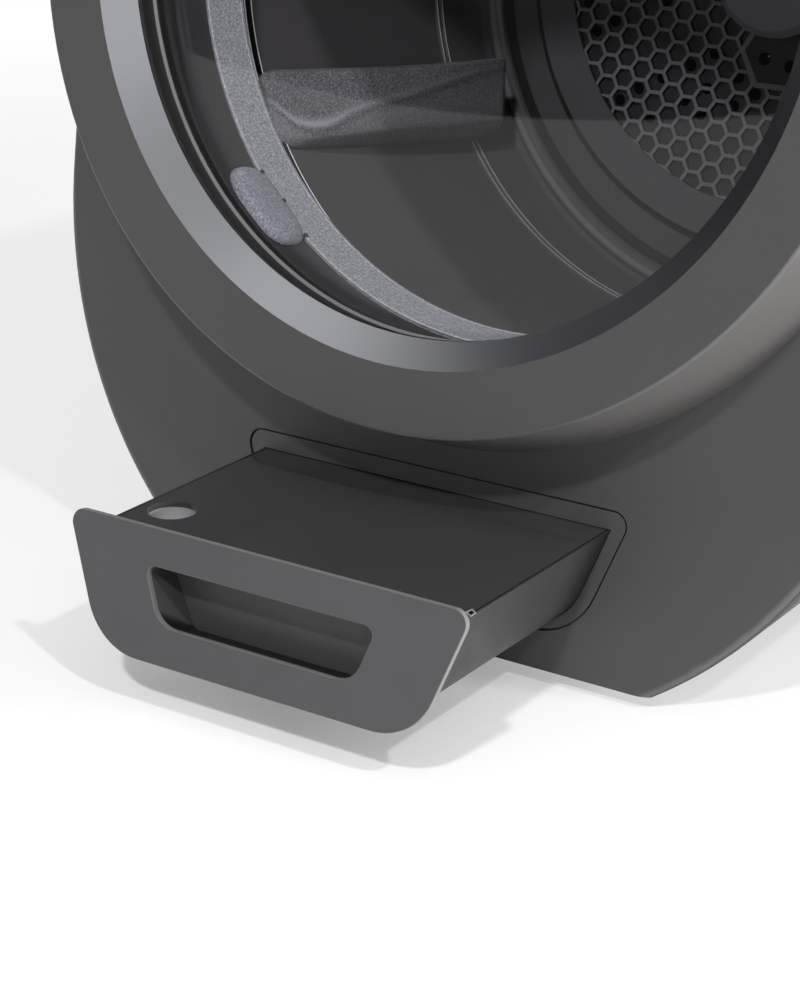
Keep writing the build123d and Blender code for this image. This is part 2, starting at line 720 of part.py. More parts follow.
def make_hinge_bracket():
    half = HINGE_LENGTH / 2
    start = LEAF_LENGTH / 2 + FIT
    plate_top = FACE + BRACKET_WALL
    left = HINGE_X - HINGE_RADIUS
    right = HINGE_X + BRACKET_REACH
    tall = HINGE_LENGTH + 2 * BRACKET_OVERHANG
    bracket = block(right - left, tall, plate_top, FACE, (left + right) / 2)
    for bottom, top in ((start, half), (-half, -start)):
        bracket += knuckle(bottom, top, HINGE_RADIUS)
        bracket += block(2 * HINGE_RADIUS, top - bottom, HINGE_H, plate_top, HINGE_X, (bottom + top) / 2)
    return leaning(bracket - knuckle(-half, half, HINGE_PIN_RADIUS))


def make_hinge_pin():
    half = HINGE_LENGTH / 2
    return leaning(knuckle(-half, half, HINGE_PIN_RADIUS))


def bolt_depth():
    """Depth of the lock bolt's axis, halfway down the strike behind the panel."""
    return (PANEL_BACK - RING_DEPTH - STRIKE_LENGTH) / 2


def bolt_tip():
    """X of the lock bolt's tip when it is drawn back from the strike."""
    return LOCK_X - STRIKE_WALL / 2 - BOLT_GAP


def make_lock_housing():
    housing = block(LOCK_WIDTH, LOCK_TALL, PANEL_BACK, PANEL_BACK - LOCK_DEPTH, LOCK_X)
    width = STRIKE_WALL + 2 * STRIKE_SLOT_GAP
    tall = STRIKE_WIDTH + 2 * STRIKE_SLOT_GAP
    housing -= block(width, tall, PANEL_BACK, -RING_DEPTH - STRIKE_LENGTH - STRIKE_SLOT_GAP, LOCK_X)
    bore_end = LOCK_X + LOCK_WIDTH / 2 - STRIKE_SLOT_GAP
    bore_start = LOCK_X - LOCK_WIDTH
    bore = Cylinder(BOLT_RADIUS + RUN_FIT, bore_end - bore_start)
    housing -= Pos((bore_end + bore_start) / 2, 0, bolt_depth()) * Rot(0, 90, 0) * bore
    return leaning(housing)


def make_lock_bolt():
    middle = bolt_tip() - BOLT_LENGTH / 2
    return leaning(Pos(middle, 0, bolt_depth()) * Rot(0, 90, 0) * Cylinder(BOLT_RADIUS, BOLT_LENGTH))


# Mouth pieces


def make_mouth_duct():
    outer = MOUTH_RADIUS + DUCT_WALL
    flange_back = PANEL_BACK - DUCT_WALL
    outline = [
        (MOUTH_RADIUS, FACE - DUCT_INSET),
        (outer, FACE - DUCT_INSET),
        (outer, PANEL_BACK),
        (outer + DUCT_FLANGE, PANEL_BACK),
        (outer + DUCT_FLANGE, flange_back),
        (outer, flange_back),
        (DUCT_REAR_RADIUS + DUCT_WALL, -COLLAR_DEPTH),
        (DUCT_REAR_RADIUS, -COLLAR_DEPTH),
    ]
    return leaning(turned(outline))


def make_mouth_collar():
    outer = DUCT_REAR_RADIUS + DUCT_WALL
    rear = -COLLAR_DEPTH - COLLAR_LENGTH
    outline = [
        (COLLAR_FRONT_RADIUS, -COLLAR_DEPTH),
        (COLLAR_REAR_RADIUS, rear),
        (COLLAR_REAR_RADIUS, COLLAR_END),
        (outer, COLLAR_END),
        (outer, -COLLAR_DEPTH),
    ]
    return leaning(turned(outline))


def duct_radius(depth):
    """Inner radius of the mouth duct at a depth."""
    front = FACE - DUCT_INSET
    share = (depth - front) / (-COLLAR_DEPTH - front)
    return MOUTH_RADIUS + share * (DUCT_REAR_RADIUS - MOUTH_RADIUS)


def make_drum_lamp():
    back = LAMP_GAP - COLLAR_DEPTH
    front = LAMP_LENGTH - COLLAR_DEPTH
    outline = [
        (duct_radius(front) - FIT, front),
        (duct_radius(back) - FIT, back),
        (duct_radius(back) - FIT - LAMP_RISE, back),
        (duct_radius(front) - FIT - LAMP_RISE, front),
    ]
    face = make_face(Polyline(*outline, close=True))
    lamp = revolve(Plane.XZ * face, Axis.Z, LAMP_SPAN)
    posts = lamp.edges().filter_by(lambda edge: abs(edge.length - LAMP_RISE) < LAMP_RISE / 10)
    lamp = fillet(posts, LAMP_CORNER)
    lamp = fillet(lamp.faces().sort_by(SortBy.AREA)[-2].edges(), LAMP_EDGE)
    return leaning(Rot(0, 0, LAMP_ANGLE - LAMP_SPAN / 2) * lamp)


# Drum pieces


def bead_depths():
    """Depths of the pressed beads near the drum's front and rear."""
    first = DRUM_FRONT - FRONT_BEAD_INSET
    last = DRUM_REAR + REAR_BEAD_INSET
    return (first, first - DRUM_BEAD_PITCH, last, last - DRUM_BEAD_PITCH)


def bead_profile(middle, grow):
    """Pressed bead on the drum wall at one depth, grown by a gap."""
    half = DRUM_BEAD + grow
    return [(DRUM_RADIUS, middle + half), (DRUM_RADIUS - half, middle), (DRUM_RADIUS, middle - half)]


def make_drum_shell():
    lip_back = DRUM_FRONT - DRUM_WALL
    outline = [(DRUM_LIP_RADIUS, DRUM_FRONT), (DRUM_LIP_RADIUS, lip_back), (DRUM_RADIUS, lip_back)]
    for middle in bead_depths():
        outline.extend(bead_profile(middle, 0))
    outline.append((DRUM_RADIUS, DRUM_REAR))
    outline.append((DRUM_FLANGE_RADIUS, DRUM_REAR))
    outline.append((DRUM_FLANGE_RADIUS, DRUM_REAR - DRUM_WALL))
    outline.append((DRUM_OUTER, DRUM_REAR - DRUM_WALL))
    outline.append((DRUM_OUTER, DRUM_FRONT))
    face = make_face(Polyline(*outline, close=True))
    face = rounded(face, (DRUM_RADIUS, DRUM_REAR), DRUM_CORNER)
    face = rounded(face, (DRUM_OUTER, DRUM_REAR - DRUM_WALL), DRUM_CORNER + DRUM_WALL)
    return leaning(revolve(Plane.XZ * face, Axis.Z))


def make_drum_rear_wall():
    groove = DISH_RADIUS + GROOVE_WIDTH
    floor = DRUM_REAR - GROOVE_DEPTH
    outline = [
        (DRUM_FLANGE_RADIUS, DRUM_REAR),
        (groove, DRUM_REAR),
        (groove, floor),
        (DISH_RADIUS, floor),
        (DISH_RADIUS, DISH_FACE),
        (GRILLE_RADIUS + FIT, DISH_FACE),
        (GRILLE_RADIUS + FIT, DISH_FACE - REAR_SHEET),
        (DISH_RADIUS - REAR_SHEET, DISH_FACE - REAR_SHEET),
        (DISH_RADIUS - REAR_SHEET, GROOVE_BACK),
        (groove + REAR_SHEET, GROOVE_BACK),
        (groove + REAR_SHEET, DRUM_REAR - REAR_SHEET),
        (DRUM_FLANGE_RADIUS, DRUM_REAR - REAR_SHEET),
    ]
    return leaning(turned(outline))


def make_honeycomb_grille():
    seat = DISH_FACE - REAR_SHEET
    outline = [
        (0, DISH_FACE),
        (GRILLE_RADIUS, DISH_FACE),
        (GRILLE_RADIUS, seat),
        (GRILLE_RADIUS + GRILLE_SEAT, seat),
        (GRILLE_RADIUS + GRILLE_SEAT, GRILLE_BACK),
        (0, GRILLE_BACK),
    ]
    return leaning(turned(outline))


def lifter_point(turn, height):
    """Point of a lifter section, from its angle about the drum axis and its height above the drum wall."""
    radius = DRUM_RADIUS - height
    angle = math.radians(LIFTER_ANGLE + turn)
    return (radius * math.cos(angle), radius * math.sin(angle))


def lifter_section(turns_and_heights):
    """Lifter section between two roots outside the drum wall, over three points of its surface."""
    points = [lifter_point(-LIFTER_HALF_ANGLE, -LIFTER_ROOT)]
    for place in range(0, len(turns_and_heights), 2):
        points.append(lifter_point(turns_and_heights[place], turns_and_heights[place + 1]))
    points.append(lifter_point(LIFTER_HALF_ANGLE, -LIFTER_ROOT))
    return make_face(Polyline(*points, close=True))


def make_lifter(turn):
    """Paddle on the drum wall: low at the front, high at the rear, with a ridge that swings sideways."""
    sections = []
    for share, *surface in LIFTER_SECTIONS:
        sections.append(Pos(0, 0, DRUM_FRONT - share * DRUM_LENGTH) * lifter_section(surface))
    lifter = loft(sections, ruled=True) & rod(DRUM_RADIUS, DRUM_FRONT, DRUM_REAR)
    for middle in bead_depths():
        lifter -= turned(bead_profile(middle, FIT))
    return leaning(Rot(0, 0, turn) * lifter)


def make_hub_cap():
    front = DISH_FACE + HUB_HEIGHT
    seat = DISH_FACE + LOBE_WALL
    outline = [
        (0, front - HUB_DIMPLE_DEPTH),
        (HUB_DIMPLE_RADIUS, front - HUB_DIMPLE_DEPTH),
        (HUB_DIMPLE_RADIUS, front),
        (HUB_RADIUS - HUB_CHAMFER, front),
        (HUB_RADIUS, front - HUB_CHAMFER),
        (HUB_RADIUS, seat),
        (HUB_BOSS_RADIUS, seat),
        (HUB_BOSS_RADIUS, DISH_FACE),
        (0, DISH_FACE),
    ]
    return leaning(turned(outline))


def lobe_angles():
    """Directions of the hub cover's lobes."""
    return [LOBE_ANGLE + 360 * number / LOBE_COUNT for number in range(LOBE_COUNT)]


def make_hub_cover():
    cover = Part()
    for angle in lobe_angles():
        lobe = extrude(Pos(LOBE_DISTANCE, 0) * RegularPolygon(LOBE_RADIUS, 6, rotation=30), LOBE_WALL)
        cover += Rot(0, 0, angle) * lobe
    cover += extrude(Circle(LOBE_DISTANCE - LOBE_RADIUS / 2), LOBE_WALL)
    return leaning(Pos(0, 0, DISH_FACE) * cover - rod(HUB_BOSS_RADIUS + FIT, 0, -FAR))


def make_hub_screws():
    screws = Part()
    front = DISH_FACE + LOBE_WALL + HUB_SCREW_HEIGHT
    for angle in lobe_angles():
        for side in (-HUB_SCREW_SPREAD, HUB_SCREW_SPREAD):
            screw = rod(HUB_SCREW_RADIUS, front, DISH_FACE + LOBE_WALL, HUB_SCREW_DISTANCE, side)
            screws += Rot(0, 0, angle) * screw
    return leaning(screws)


def make_drum_spider():
    spider = rod(SPIDER_HUB_RADIUS, GRILLE_BACK, SPIDER_BACK)
    for number in range(LIFTER_COUNT):
        reach = DRUM_RADIUS - SPIDER_INSET
        arm = block(reach, SPIDER_ARM_WIDTH, GROOVE_BACK, SPIDER_BACK, reach / 2)
        spider += Rot(0, 0, LIFTER_ANGLE + 360 * number / LIFTER_COUNT) * arm
    return leaning(spider - rod(SHAFT_RADIUS, SHAFT_FRONT, SPIDER_BACK - FIT))


def make_drum_shaft():
    return leaning(rod(SHAFT_RADIUS, SHAFT_FRONT, SHAFT_BACK))


def pulley_profile(bore, boss, radius):
    """Flat-belt pulley with a flange at each side, from radius and depth."""
    rim = radius - PULLEY_RIM
    middle = (PULLEY_FRONT + PULLEY_BACK) / 2
    web = PULLEY_WEB / 2
    return [
        (bore, PULLEY_FRONT),
        (boss, PULLEY_FRONT),
        (boss, middle + web),
        (rim, middle + web),
        (rim, PULLEY_FRONT),
        (radius + FLANGE_RISE, PULLEY_FRONT),
        (radius + FLANGE_RISE, PULLEY_FRONT - FLANGE_WALL),
        (radius, PULLEY_FRONT - FLANGE_WALL),
        (radius, PULLEY_BACK + FLANGE_WALL),
        (radius + FLANGE_RISE, PULLEY_BACK + FLANGE_WALL),
        (radius + FLANGE_RISE, PULLEY_BACK),
        (rim, PULLEY_BACK),
        (rim, middle - web),
        (boss, middle - web),
        (boss, PULLEY_BACK),
        (bore, PULLEY_BACK),
    ]


def make_drum_pulley():
    return leaning(turned(pulley_profile(SHAFT_RADIUS, PULLEY_BOSS_RADIUS, PULLEY_RADIUS)))


# Drive pieces


def make_rear_bulkhead():
    wall = along_y(cabinet_outline(SHELL_WALL + FIT, FLOOR_Z), -FAR, FAR)
    wall &= leaning(block(FAR, FAR, BULKHEAD_FRONT, BULKHEAD_BACK))
    wall &= upright(FAR, FAR, BASE_Z + BULKHEAD_FOOT_HEIGHT, BASE_Z + FAR, 0, 0)
    wall -= leaning(rod(BULKHEAD_BORE, 0, -FAR))
    wall -= leaning(rod(FAN_INLET_RADIUS, 0, -FAR, FAN_X, FAN_RISE))
    width = HEATER_WIDTH - 2 * HEATER_RIM
    tall = HEATER_TALL - 2 * HEATER_RIM
    return wall - leaning(block(width, tall, 0, -FAR, HEATER_X, HEATER_RISE))


def make_bearing_housing():
    outer = BEARING_RADIUS + HOUSING_WALL
    flange_back = BULKHEAD_BACK - HOUSING_FLANGE_WALL
    outline = [
        (BEARING_RADIUS, BULKHEAD_BACK),
        (HOUSING_FLANGE_RADIUS, BULKHEAD_BACK),
        (HOUSING_FLANGE_RADIUS, flange_back),
        (outer, flange_back),
        (outer, HOUSING_BACK),
        (SHAFT_RADIUS + HOUSING_LIP, HOUSING_BACK),
        (SHAFT_RADIUS + HOUSING_LIP, HOUSING_BACK + HOUSING_LIP),
        (BEARING_RADIUS, HOUSING_BACK + HOUSING_LIP),
    ]
    return leaning(turned(outline))


def make_shaft_bearings():
    bearings = Part()
    rear = HOUSING_BACK + HOUSING_LIP
    for back in (rear, rear + BEARING_SPREAD):
        bearings += rod(BEARING_RADIUS, back + BEARING_WIDTH, back)
    return leaning(bearings - rod(SHAFT_RADIUS + RUN_FIT, 0, -FAR))


def make_motor_housing():
    front = MOTOR_BACK + MOTOR_LENGTH
    motor = rod(MOTOR_RADIUS, front, MOTOR_BACK, MOTOR_X, MOTOR_V)
    bore_front = MOTOR_BACK + MOTOR_SHAFT_BITE
    return leaning(motor - rod(MOTOR_SHAFT_RADIUS + RUN_FIT, bore_front, MOTOR_BACK, MOTOR_X, MOTOR_V))


def make_motor_bracket():
    centre = leaning(Location((MOTOR_X, MOTOR_V, MOTOR_MIDDLE))).position
    cradle = upright(CRADLE_WIDTH, CRADLE_LENGTH, FLOOR_Z, centre.Z, MOTOR_X, centre.Y)
    cradle &= along_y(cabinet_outline(SHELL_WALL + FIT, FLOOR_Z), -FAR, FAR)
    return cradle - leaning(rod(MOTOR_RADIUS, 0, -FAR, MOTOR_X, MOTOR_V))


def make_motor_shaft():
    front = MOTOR_BACK + MOTOR_SHAFT_BITE - FIT
    return leaning(rod(MOTOR_SHAFT_RADIUS, front, SHAFT_BACK, MOTOR_X, MOTOR_V))


def make_motor_pulley():
    profile = [
        (MOTOR_SHAFT_RADIUS, PULLEY_FRONT),
        (MOTOR_PULLEY_RADIUS + FLANGE_RISE, PULLEY_FRONT),
        (MOTOR_PULLEY_RADIUS + FLANGE_RISE, PULLEY_FRONT - FLANGE_WALL),
        (MOTOR_PULLEY_RADIUS, PULLEY_FRONT - FLANGE_WALL),
        (MOTOR_PULLEY_RADIUS, PULLEY_BACK + FLANGE_WALL),
        (MOTOR_PULLEY_RADIUS + FLANGE_RISE, PULLEY_BACK + FLANGE_WALL),
        (MOTOR_PULLEY_RADIUS + FLANGE_RISE, PULLEY_BACK),
        (MOTOR_SHAFT_RADIUS, PULLEY_BACK),
    ]
    return leaning(Pos(MOTOR_X, MOTOR_V) * turned(profile))


def belt_loop(grow):
    """Outline round both pulleys, grown by a distance."""
    large = Circle(PULLEY_RADIUS + grow)
    small = Pos(MOTOR_X, MOTOR_V) * Circle(MOTOR_PULLEY_RADIUS + grow)
    return make_hull(large.edges() + small.edges())


def make_drive_belt():
    front = PULLEY_FRONT - FLANGE_WALL - BELT_SIDE_GAP
    back = PULLEY_BACK + FLANGE_WALL + BELT_SIDE_GAP
    loop = belt_loop(FIT + BELT_WALL) - belt_loop(FIT)
    return leaning(Pos(0, 0, back) * extrude(loop, front - back))


# Air pieces


def fan_back():
    """Depth of the fan housing's outer rear face."""
    return BULKHEAD_BACK - FAN_WIDTH - 2 * FAN_GAP - FAN_HOUSING_WALL


def make_fan_housing():
    inner = FAN_RADIUS + FAN_CLEAR
    outer = inner + FAN_HOUSING_WALL
    back = fan_back()
    housing = rod(outer, BULKHEAD_BACK, back, FAN_X, FAN_RISE)
    housing -= rod(inner, BULKHEAD_BACK, back + FAN_HOUSING_WALL, FAN_X, FAN_RISE)
    return leaning(housing - rod(FAN_SHAFT_RADIUS + RUN_FIT, 0, -FAR, FAN_X, FAN_RISE))


def make_fan_motor():
    back = fan_back()
    motor = rod(FAN_MOTOR_RADIUS, back, back - FAN_MOTOR_LENGTH, FAN_X, FAN_RISE)
    bore_back = back - FAN_SHAFT_TAIL
    return leaning(motor - rod(FAN_SHAFT_RADIUS + RUN_FIT, back, bore_back, FAN_X, FAN_RISE))


def make_fan_wheel():
    back = fan_back() + FAN_HOUSING_WALL + FAN_GAP
    front = back + FAN_WIDTH
    wheel = rod(FAN_RADIUS, back + FAN_BLADE_WALL, back) + rod(FAN_HUB_RADIUS, front, back)
    for number in range(FAN_BLADES):
        span = FAN_RADIUS - FAN_HUB_RADIUS
        blade = block(span, FAN_BLADE_WALL, front, back, FAN_HUB_RADIUS + span / 2 - FAN_BLADE_WALL)
        wheel += Rot(0, 0, 360 * number / FAN_BLADES) * blade
    wheel += rod(FAN_SHAFT_RADIUS, back, fan_back() - FAN_SHAFT_TAIL + FIT)
    return leaning(Pos(FAN_X, FAN_RISE) * wheel)


def make_heater():
    return leaning(
        block(HEATER_WIDTH, HEATER_TALL, BULKHEAD_BACK, BULKHEAD_BACK - HEATER_DEPTH, HEATER_X, HEATER_RISE)
    )


def make_condenser():
    middle = PUMP_FRONT_Y + CONDENSER_LENGTH / 2
    top = FLOOR_Z + CONDENSER_TALL
    return upright(CONDENSER_WIDTH, CONDENSER_LENGTH, FLOOR_Z, top, CONDENSER_X, middle)


# Water pieces


def pulled_out(shape):
    """Draw a piece of the closed drawer out to its resting place."""
    return Pos(0, -PULL_OUT, 0) * shape


def make_tank_front_plate():
    face = plate_outline(0) - grip_outline(0)
    plate = extrude(face, PLATE_WALL)
    plate = fillet(plate.faces().sort_by(Axis.Z)[-1].edges(), PLATE_EDGE)
    return pulled_out(leaning(Pos(0, 0, PLATE_BACK) * plate))


def make_grip_cup():
    return pulled_out(grip_pocket(GRIP_WALL) - grip_pocket(0))


def make_tank_body():
    body = along_y(tank_outline(0, LID_Z), -FAR, TANK_BACK_Y) & behind(PLATE_BACK)
    water = along_y(tank_outline(-TANK_WALL, LID_Z), -FAR, TANK_BACK_Y - TANK_WALL)
    body -= water & behind(PLATE_BACK - TANK_WALL)
    seat = along_y(tank_outline(-LID_RIM, LID_Z), -FAR, TANK_BACK_Y - LID_RIM) & behind(PLATE_BACK - LID_RIM)
    body -= seat & upright(FAR, FAR, LID_Z - LID_WALL, LID_Z + LID_WALL, 0, 0)
    return pulled_out(body - grip_pocket(GRIP_WALL))


def make_tank_lid():
    edge = LID_RIM + LID_SEAM
    lid = along_y(tank_outline(-edge, LID_Z), -FAR, TANK_BACK_Y - edge) & behind(PLATE_BACK - edge)
    lid &= upright(FAR, FAR, LID_Z - LID_WALL, LID_Z, 0, 0)
    middle = LID_Z - (LID_WALL + SLEEVE_LENGTH) / 2
    sleeve = Pos(LID_HOLE_X, LID_HOLE_Y, middle)
    sleeve *= Cylinder(LID_HOLE_RADIUS + SLEEVE_WALL, LID_WALL + SLEEVE_LENGTH)
    lid += sleeve & along_y(tank_outline(-TANK_WALL - FIT, LID_Z), -FAR, FAR)
    return pulled_out(lid - Pos(LID_HOLE_X, LID_HOLE_Y, LID_Z) * Cylinder(LID_HOLE_RADIUS, 4 * SLEEVE_LENGTH))


def make_tank_bay():
    outer = along_y(tank_outline(BAY_GAP + BAY_WALL, BAY_ROOF_Z), -FAR, BAY_BACK_Y) & behind(PANEL_BACK)
    bay = outer - along_y(tank_outline(BAY_GAP, LID_Z + BAY_GAP), -FAR, BAY_BACK_Y - BAY_WALL)
    for y in (plane_y(PANEL_BACK, LID_Z) + BAY_LEG_INSET, BAY_BACK_Y - BAY_LEG_INSET):
        bay += upright(BAY_LEG_WIDTH, BAY_LEG_LENGTH, FLOOR_Z, BAY_BOTTOM_Z, 0, y)
    spout_top = BAY_ROOF_Z + SPOUT_HEIGHT
    bay += Pos(LID_HOLE_X, LID_HOLE_Y, (BAY_ROOF_Z + spout_top) / 2) * Cylinder(SPOUT_RADIUS, SPOUT_HEIGHT)
    return bay - Pos(LID_HOLE_X, LID_HOLE_Y, spout_top) * Cylinder(SPOUT_BORE, 4 * SPOUT_HEIGHT)


def make_drain_pump():
    back = PUMP_FRONT_Y + PUMP_LENGTH
    pump = along_y(Pos(0, PUMP_Z) * Circle(PUMP_RADIUS), PUMP_FRONT_Y, back)
    foot = upright(2 * PUMP_RADIUS, PUMP_LENGTH, FLOOR_Z, PUMP_Z, 0, PUMP_FRONT_Y + PUMP_LENGTH / 2)
    return pump + foot


def make_drain_pipe():
    spout_top = BAY_ROOF_Z + SPOUT_HEIGHT
    side_x = -TANK_HALF - PIPE_SIDE_GAP
    turn_y = BAY_BACK_Y + PUMP_GAP / 2
    top = spout_top + PIPE_RISE + PIPE_BEND
    route = FilletPolyline(
        (0, PUMP_FRONT_Y, PUMP_Z),
        (0, turn_y, PUMP_Z),
        (side_x, turn_y, PUMP_Z),
        (side_x, LID_HOLE_Y, PUMP_Z),
        (side_x, LID_HOLE_Y, top),
        (LID_HOLE_X, LID_HOLE_Y, top),
        (LID_HOLE_X, LID_HOLE_Y, spout_top),
        radius=PIPE_BEND,
    )
    start = Plane(origin=(0, PUMP_FRONT_Y, PUMP_Z), z_dir=(0, -1, 0))
    ring = start * (Circle(PIPE_RADIUS) - Circle(PIPE_BORE))
    return sweep(ring, path=route)


# Controls


def make_control_console():
    shell = upright(CONSOLE_WIDTH, CONSOLE_LENGTH, UPPER_ARC_Z, CONSOLE_TOP, 0, CONSOLE_Y)
    shell = fillet(shell.edges().filter_by(Axis.Z), CONSOLE_STEP)
    shell = fillet(shell.faces().sort_by(Axis.Z)[-1].edges(), CONSOLE_EDGE)
    shell -= along_y(cabinet_outline(0, BASE_Z), -FAR, FAR)
    plug_width = CAVITY_WIDTH + 2 * CONSOLE_WALL
    plug_length = CAVITY_LENGTH + 2 * CONSOLE_WALL
    shell += upright(plug_width, plug_length, TOP_Z - CONSOLE_DEPTH, TOP_Z, 0, CONSOLE_Y)
    shell -= upright(CAVITY_WIDTH, CAVITY_LENGTH, UPPER_ARC_Z, CONSOLE_CEILING, 0, CONSOLE_Y)
    pocket_floor = CONSOLE_TOP - DISPLAY_WALL
    shell -= upright(DISPLAY_WIDTH, DISPLAY_LENGTH, pocket_floor, CONSOLE_TOP + FIT, 0, CONSOLE_Y)
    for x in (-BUTTON_X, BUTTON_X):
        shell -= Pos(x, CONSOLE_Y, CONSOLE_TOP) * Cylinder(BUTTON_RADIUS + FIT, 4 * CONSOLE_WALL)
    return shell


def make_display_window():
    return upright(DISPLAY_WIDTH, DISPLAY_LENGTH, CONSOLE_TOP - DISPLAY_WALL, CONSOLE_TOP, 0, CONSOLE_Y)


def make_control_board():
    width = CAVITY_WIDTH - 2 * FIT
    length = CAVITY_LENGTH - 2 * FIT
    board = upright(width, length, BOARD_TOP - BOARD_WALL, BOARD_TOP, 0, CONSOLE_Y)
    for x in (-BUTTON_X, BUTTON_X):
        board += upright(SWITCH_SIZE, SWITCH_SIZE, BOARD_TOP, BOARD_TOP + SWITCH_HEIGHT, x, CONSOLE_Y)
    top = CONSOLE_CEILING - FIT
    return board + upright(DISPLAY_WIDTH, DISPLAY_LENGTH, BOARD_TOP, top, 0, CONSOLE_Y)


def make_button(x):
    """Push button: cap, retaining flange and stem over its switch."""
    flange_top = CONSOLE_CEILING - FIT
    flange_bottom = flange_top - BUTTON_FLANGE
    stem_bottom = BOARD_TOP + SWITCH_HEIGHT + BUTTON_TRAVEL + FIT
    cap_top = CONSOLE_TOP + BUTTON_RISE
    middle = (flange_bottom + cap_top) / 2
    button = Pos(x, CONSOLE_Y, middle) * Cylinder(BUTTON_RADIUS, cap_top - flange_bottom)
    button = fillet(button.faces().sort_by(Axis.Z)[-1].edges(), BUTTON_RISE / 2)
    flange = Cylinder(BUTTON_RADIUS + BUTTON_FLANGE, BUTTON_FLANGE)
    button += Pos(x, CONSOLE_Y, (flange_bottom + flange_top) / 2) * flange
    stem = Cylinder(BUTTON_STEM_RADIUS, flange_bottom - stem_bottom)
    return button + Pos(x, CONSOLE_Y, (flange_bottom + stem_bottom) / 2) * stem


PIECES = {
    "front_panel": make_front_panel(),
    "cabinet_shell": make_cabinet_shell(),
    "base_tray": make_base_tray(),
    "rear_panel": make_rear_panel(),
    "rear_screws": make_rear_screws(),
    "power_inlet": make_power_inlet(),
    "foot_strips": make_foot_strips(),
    "door_ring": make_door_ring(),
    "door_bevel": make_door_bevel(),
    "glass_gasket": make_glass_gasket(),
    "silver_bead": make_silver_bead(),
    "door_glass": make_door_glass(),
    "glass_clamp": make_glass_clamp(),
    "door_back_cover": make_door_back_cover(),
    "door_strike": make_door_strike(),
    "hinge_leaf": make_hinge_leaf(),
    "hinge_bracket": make_hinge_bracket(),
    "hinge_pin": make_hinge_pin(),
    "lock_housing": make_lock_housing(),
    "lock_bolt": make_lock_bolt(),
    "mouth_duct": make_mouth_duct(),
    "mouth_collar": make_mouth_collar(),
    "drum_lamp": make_drum_lamp(),
    "drum_shell": make_drum_shell(),
    "drum_rear_wall": make_drum_rear_wall(),
    "honeycomb_grille": make_honeycomb_grille(),
    "hub_cap": make_hub_cap(),
    "hub_cover": make_hub_cover(),
    "hub_screws": make_hub_screws(),
    "drum_spider": make_drum_spider(),
    "drum_shaft": make_drum_shaft(),
    "drum_pulley": make_drum_pulley(),
    "rear_bulkhead": make_rear_bulkhead(),
    "bearing_housing": make_bearing_housing(),
    "shaft_bearings": make_shaft_bearings(),
    "motor_housing": make_motor_housing(),
    "motor_bracket": make_motor_bracket(),
    "motor_shaft": make_motor_shaft(),
    "motor_pulley": make_motor_pulley(),
    "drive_belt": make_drive_belt(),
    "fan_housing": make_fan_housing(),
    "fan_motor": make_fan_motor(),
    "fan_wheel": make_fan_wheel(),
    "heater": make_heater(),
    "condenser": make_condenser(),
    "tank_front_plate": make_tank_front_plate(),
    "grip_cup": make_grip_cup(),
    "tank_body": make_tank_body(),
    "tank_lid": make_tank_lid(),
    "tank_bay": make_tank_bay(),
    "drain_pump": make_drain_pump(),
    "drain_pipe": make_drain_pipe(),
    "control_console": make_control_console(),
    "display_window": make_display_window(),
    "control_board": make_control_board(),
    "power_button": make_button(-BUTTON_X),
    "start_button": make_button(BUTTON_X),
}
for number in range(LIFTER_COUNT):
    PIECES[f"lifter_{number + 1}"] = make_lifter(360 * number / LIFTER_COUNT)

os.makedirs("parts", exist_ok=True)
for name, shape in PIECES.items():
    export_step(shape, f"parts/{name}.step")
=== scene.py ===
import math

import bpy
from mathutils import Matrix, Vector


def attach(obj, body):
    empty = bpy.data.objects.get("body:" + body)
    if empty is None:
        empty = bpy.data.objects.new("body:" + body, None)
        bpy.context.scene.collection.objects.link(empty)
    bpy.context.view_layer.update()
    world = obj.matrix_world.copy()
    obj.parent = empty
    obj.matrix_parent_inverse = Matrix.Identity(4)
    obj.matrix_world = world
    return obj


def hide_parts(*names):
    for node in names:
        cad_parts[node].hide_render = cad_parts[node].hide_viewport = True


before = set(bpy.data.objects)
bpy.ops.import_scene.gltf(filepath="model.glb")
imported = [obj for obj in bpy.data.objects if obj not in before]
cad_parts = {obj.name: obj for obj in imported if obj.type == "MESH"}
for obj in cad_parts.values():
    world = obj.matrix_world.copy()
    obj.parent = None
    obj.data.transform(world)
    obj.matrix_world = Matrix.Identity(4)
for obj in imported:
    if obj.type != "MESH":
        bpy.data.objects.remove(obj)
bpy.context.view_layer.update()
scene = bpy.context.scene
scene.view_settings.view_transform = "Standard"

# The leaning front is tilted back from the vertical. Door, drum and grille share its axis.
FRONT_TILT = math.radians(8.5)
DOOR_CENTRE = Vector((0.0, -0.060, 0.307))
FRONT_SINE = math.sin(FRONT_TILT)
FRONT_COSINE = math.cos(FRONT_TILT)
LEANING = Matrix(
    (
        (1.0, 0.0, 0.0, DOOR_CENTRE.x),
        (0.0, FRONT_SINE, -FRONT_COSINE, DOOR_CENTRE.y),
        (0.0, FRONT_COSINE, FRONT_SINE, DOOR_CENTRE.z),
        (0.0, 0.0, 0.0, 1.0),
    )
)
DRUM_RADIUS = 0.182
DRUM_FRONT = -0.103
DRUM_LENGTH = 0.2435
DRUM_REAR = DRUM_FRONT - DRUM_LENGTH
THIRD_TURN = 120.0
MILLIMETRES = 1000.0


# Node building


def add(tree, kind, **settings):
    node = tree.nodes.new(kind)
    for key, value in settings.items():
        setattr(node, key, value)
    return node


def join(tree, source, target):
    tree.links.new(source, target)


def plug(tree, value, target):
    """Set a socket to a number, or link another socket to it."""
    if isinstance(value, (int, float)):
        target.default_value = value
    else:
        join(tree, value, target)


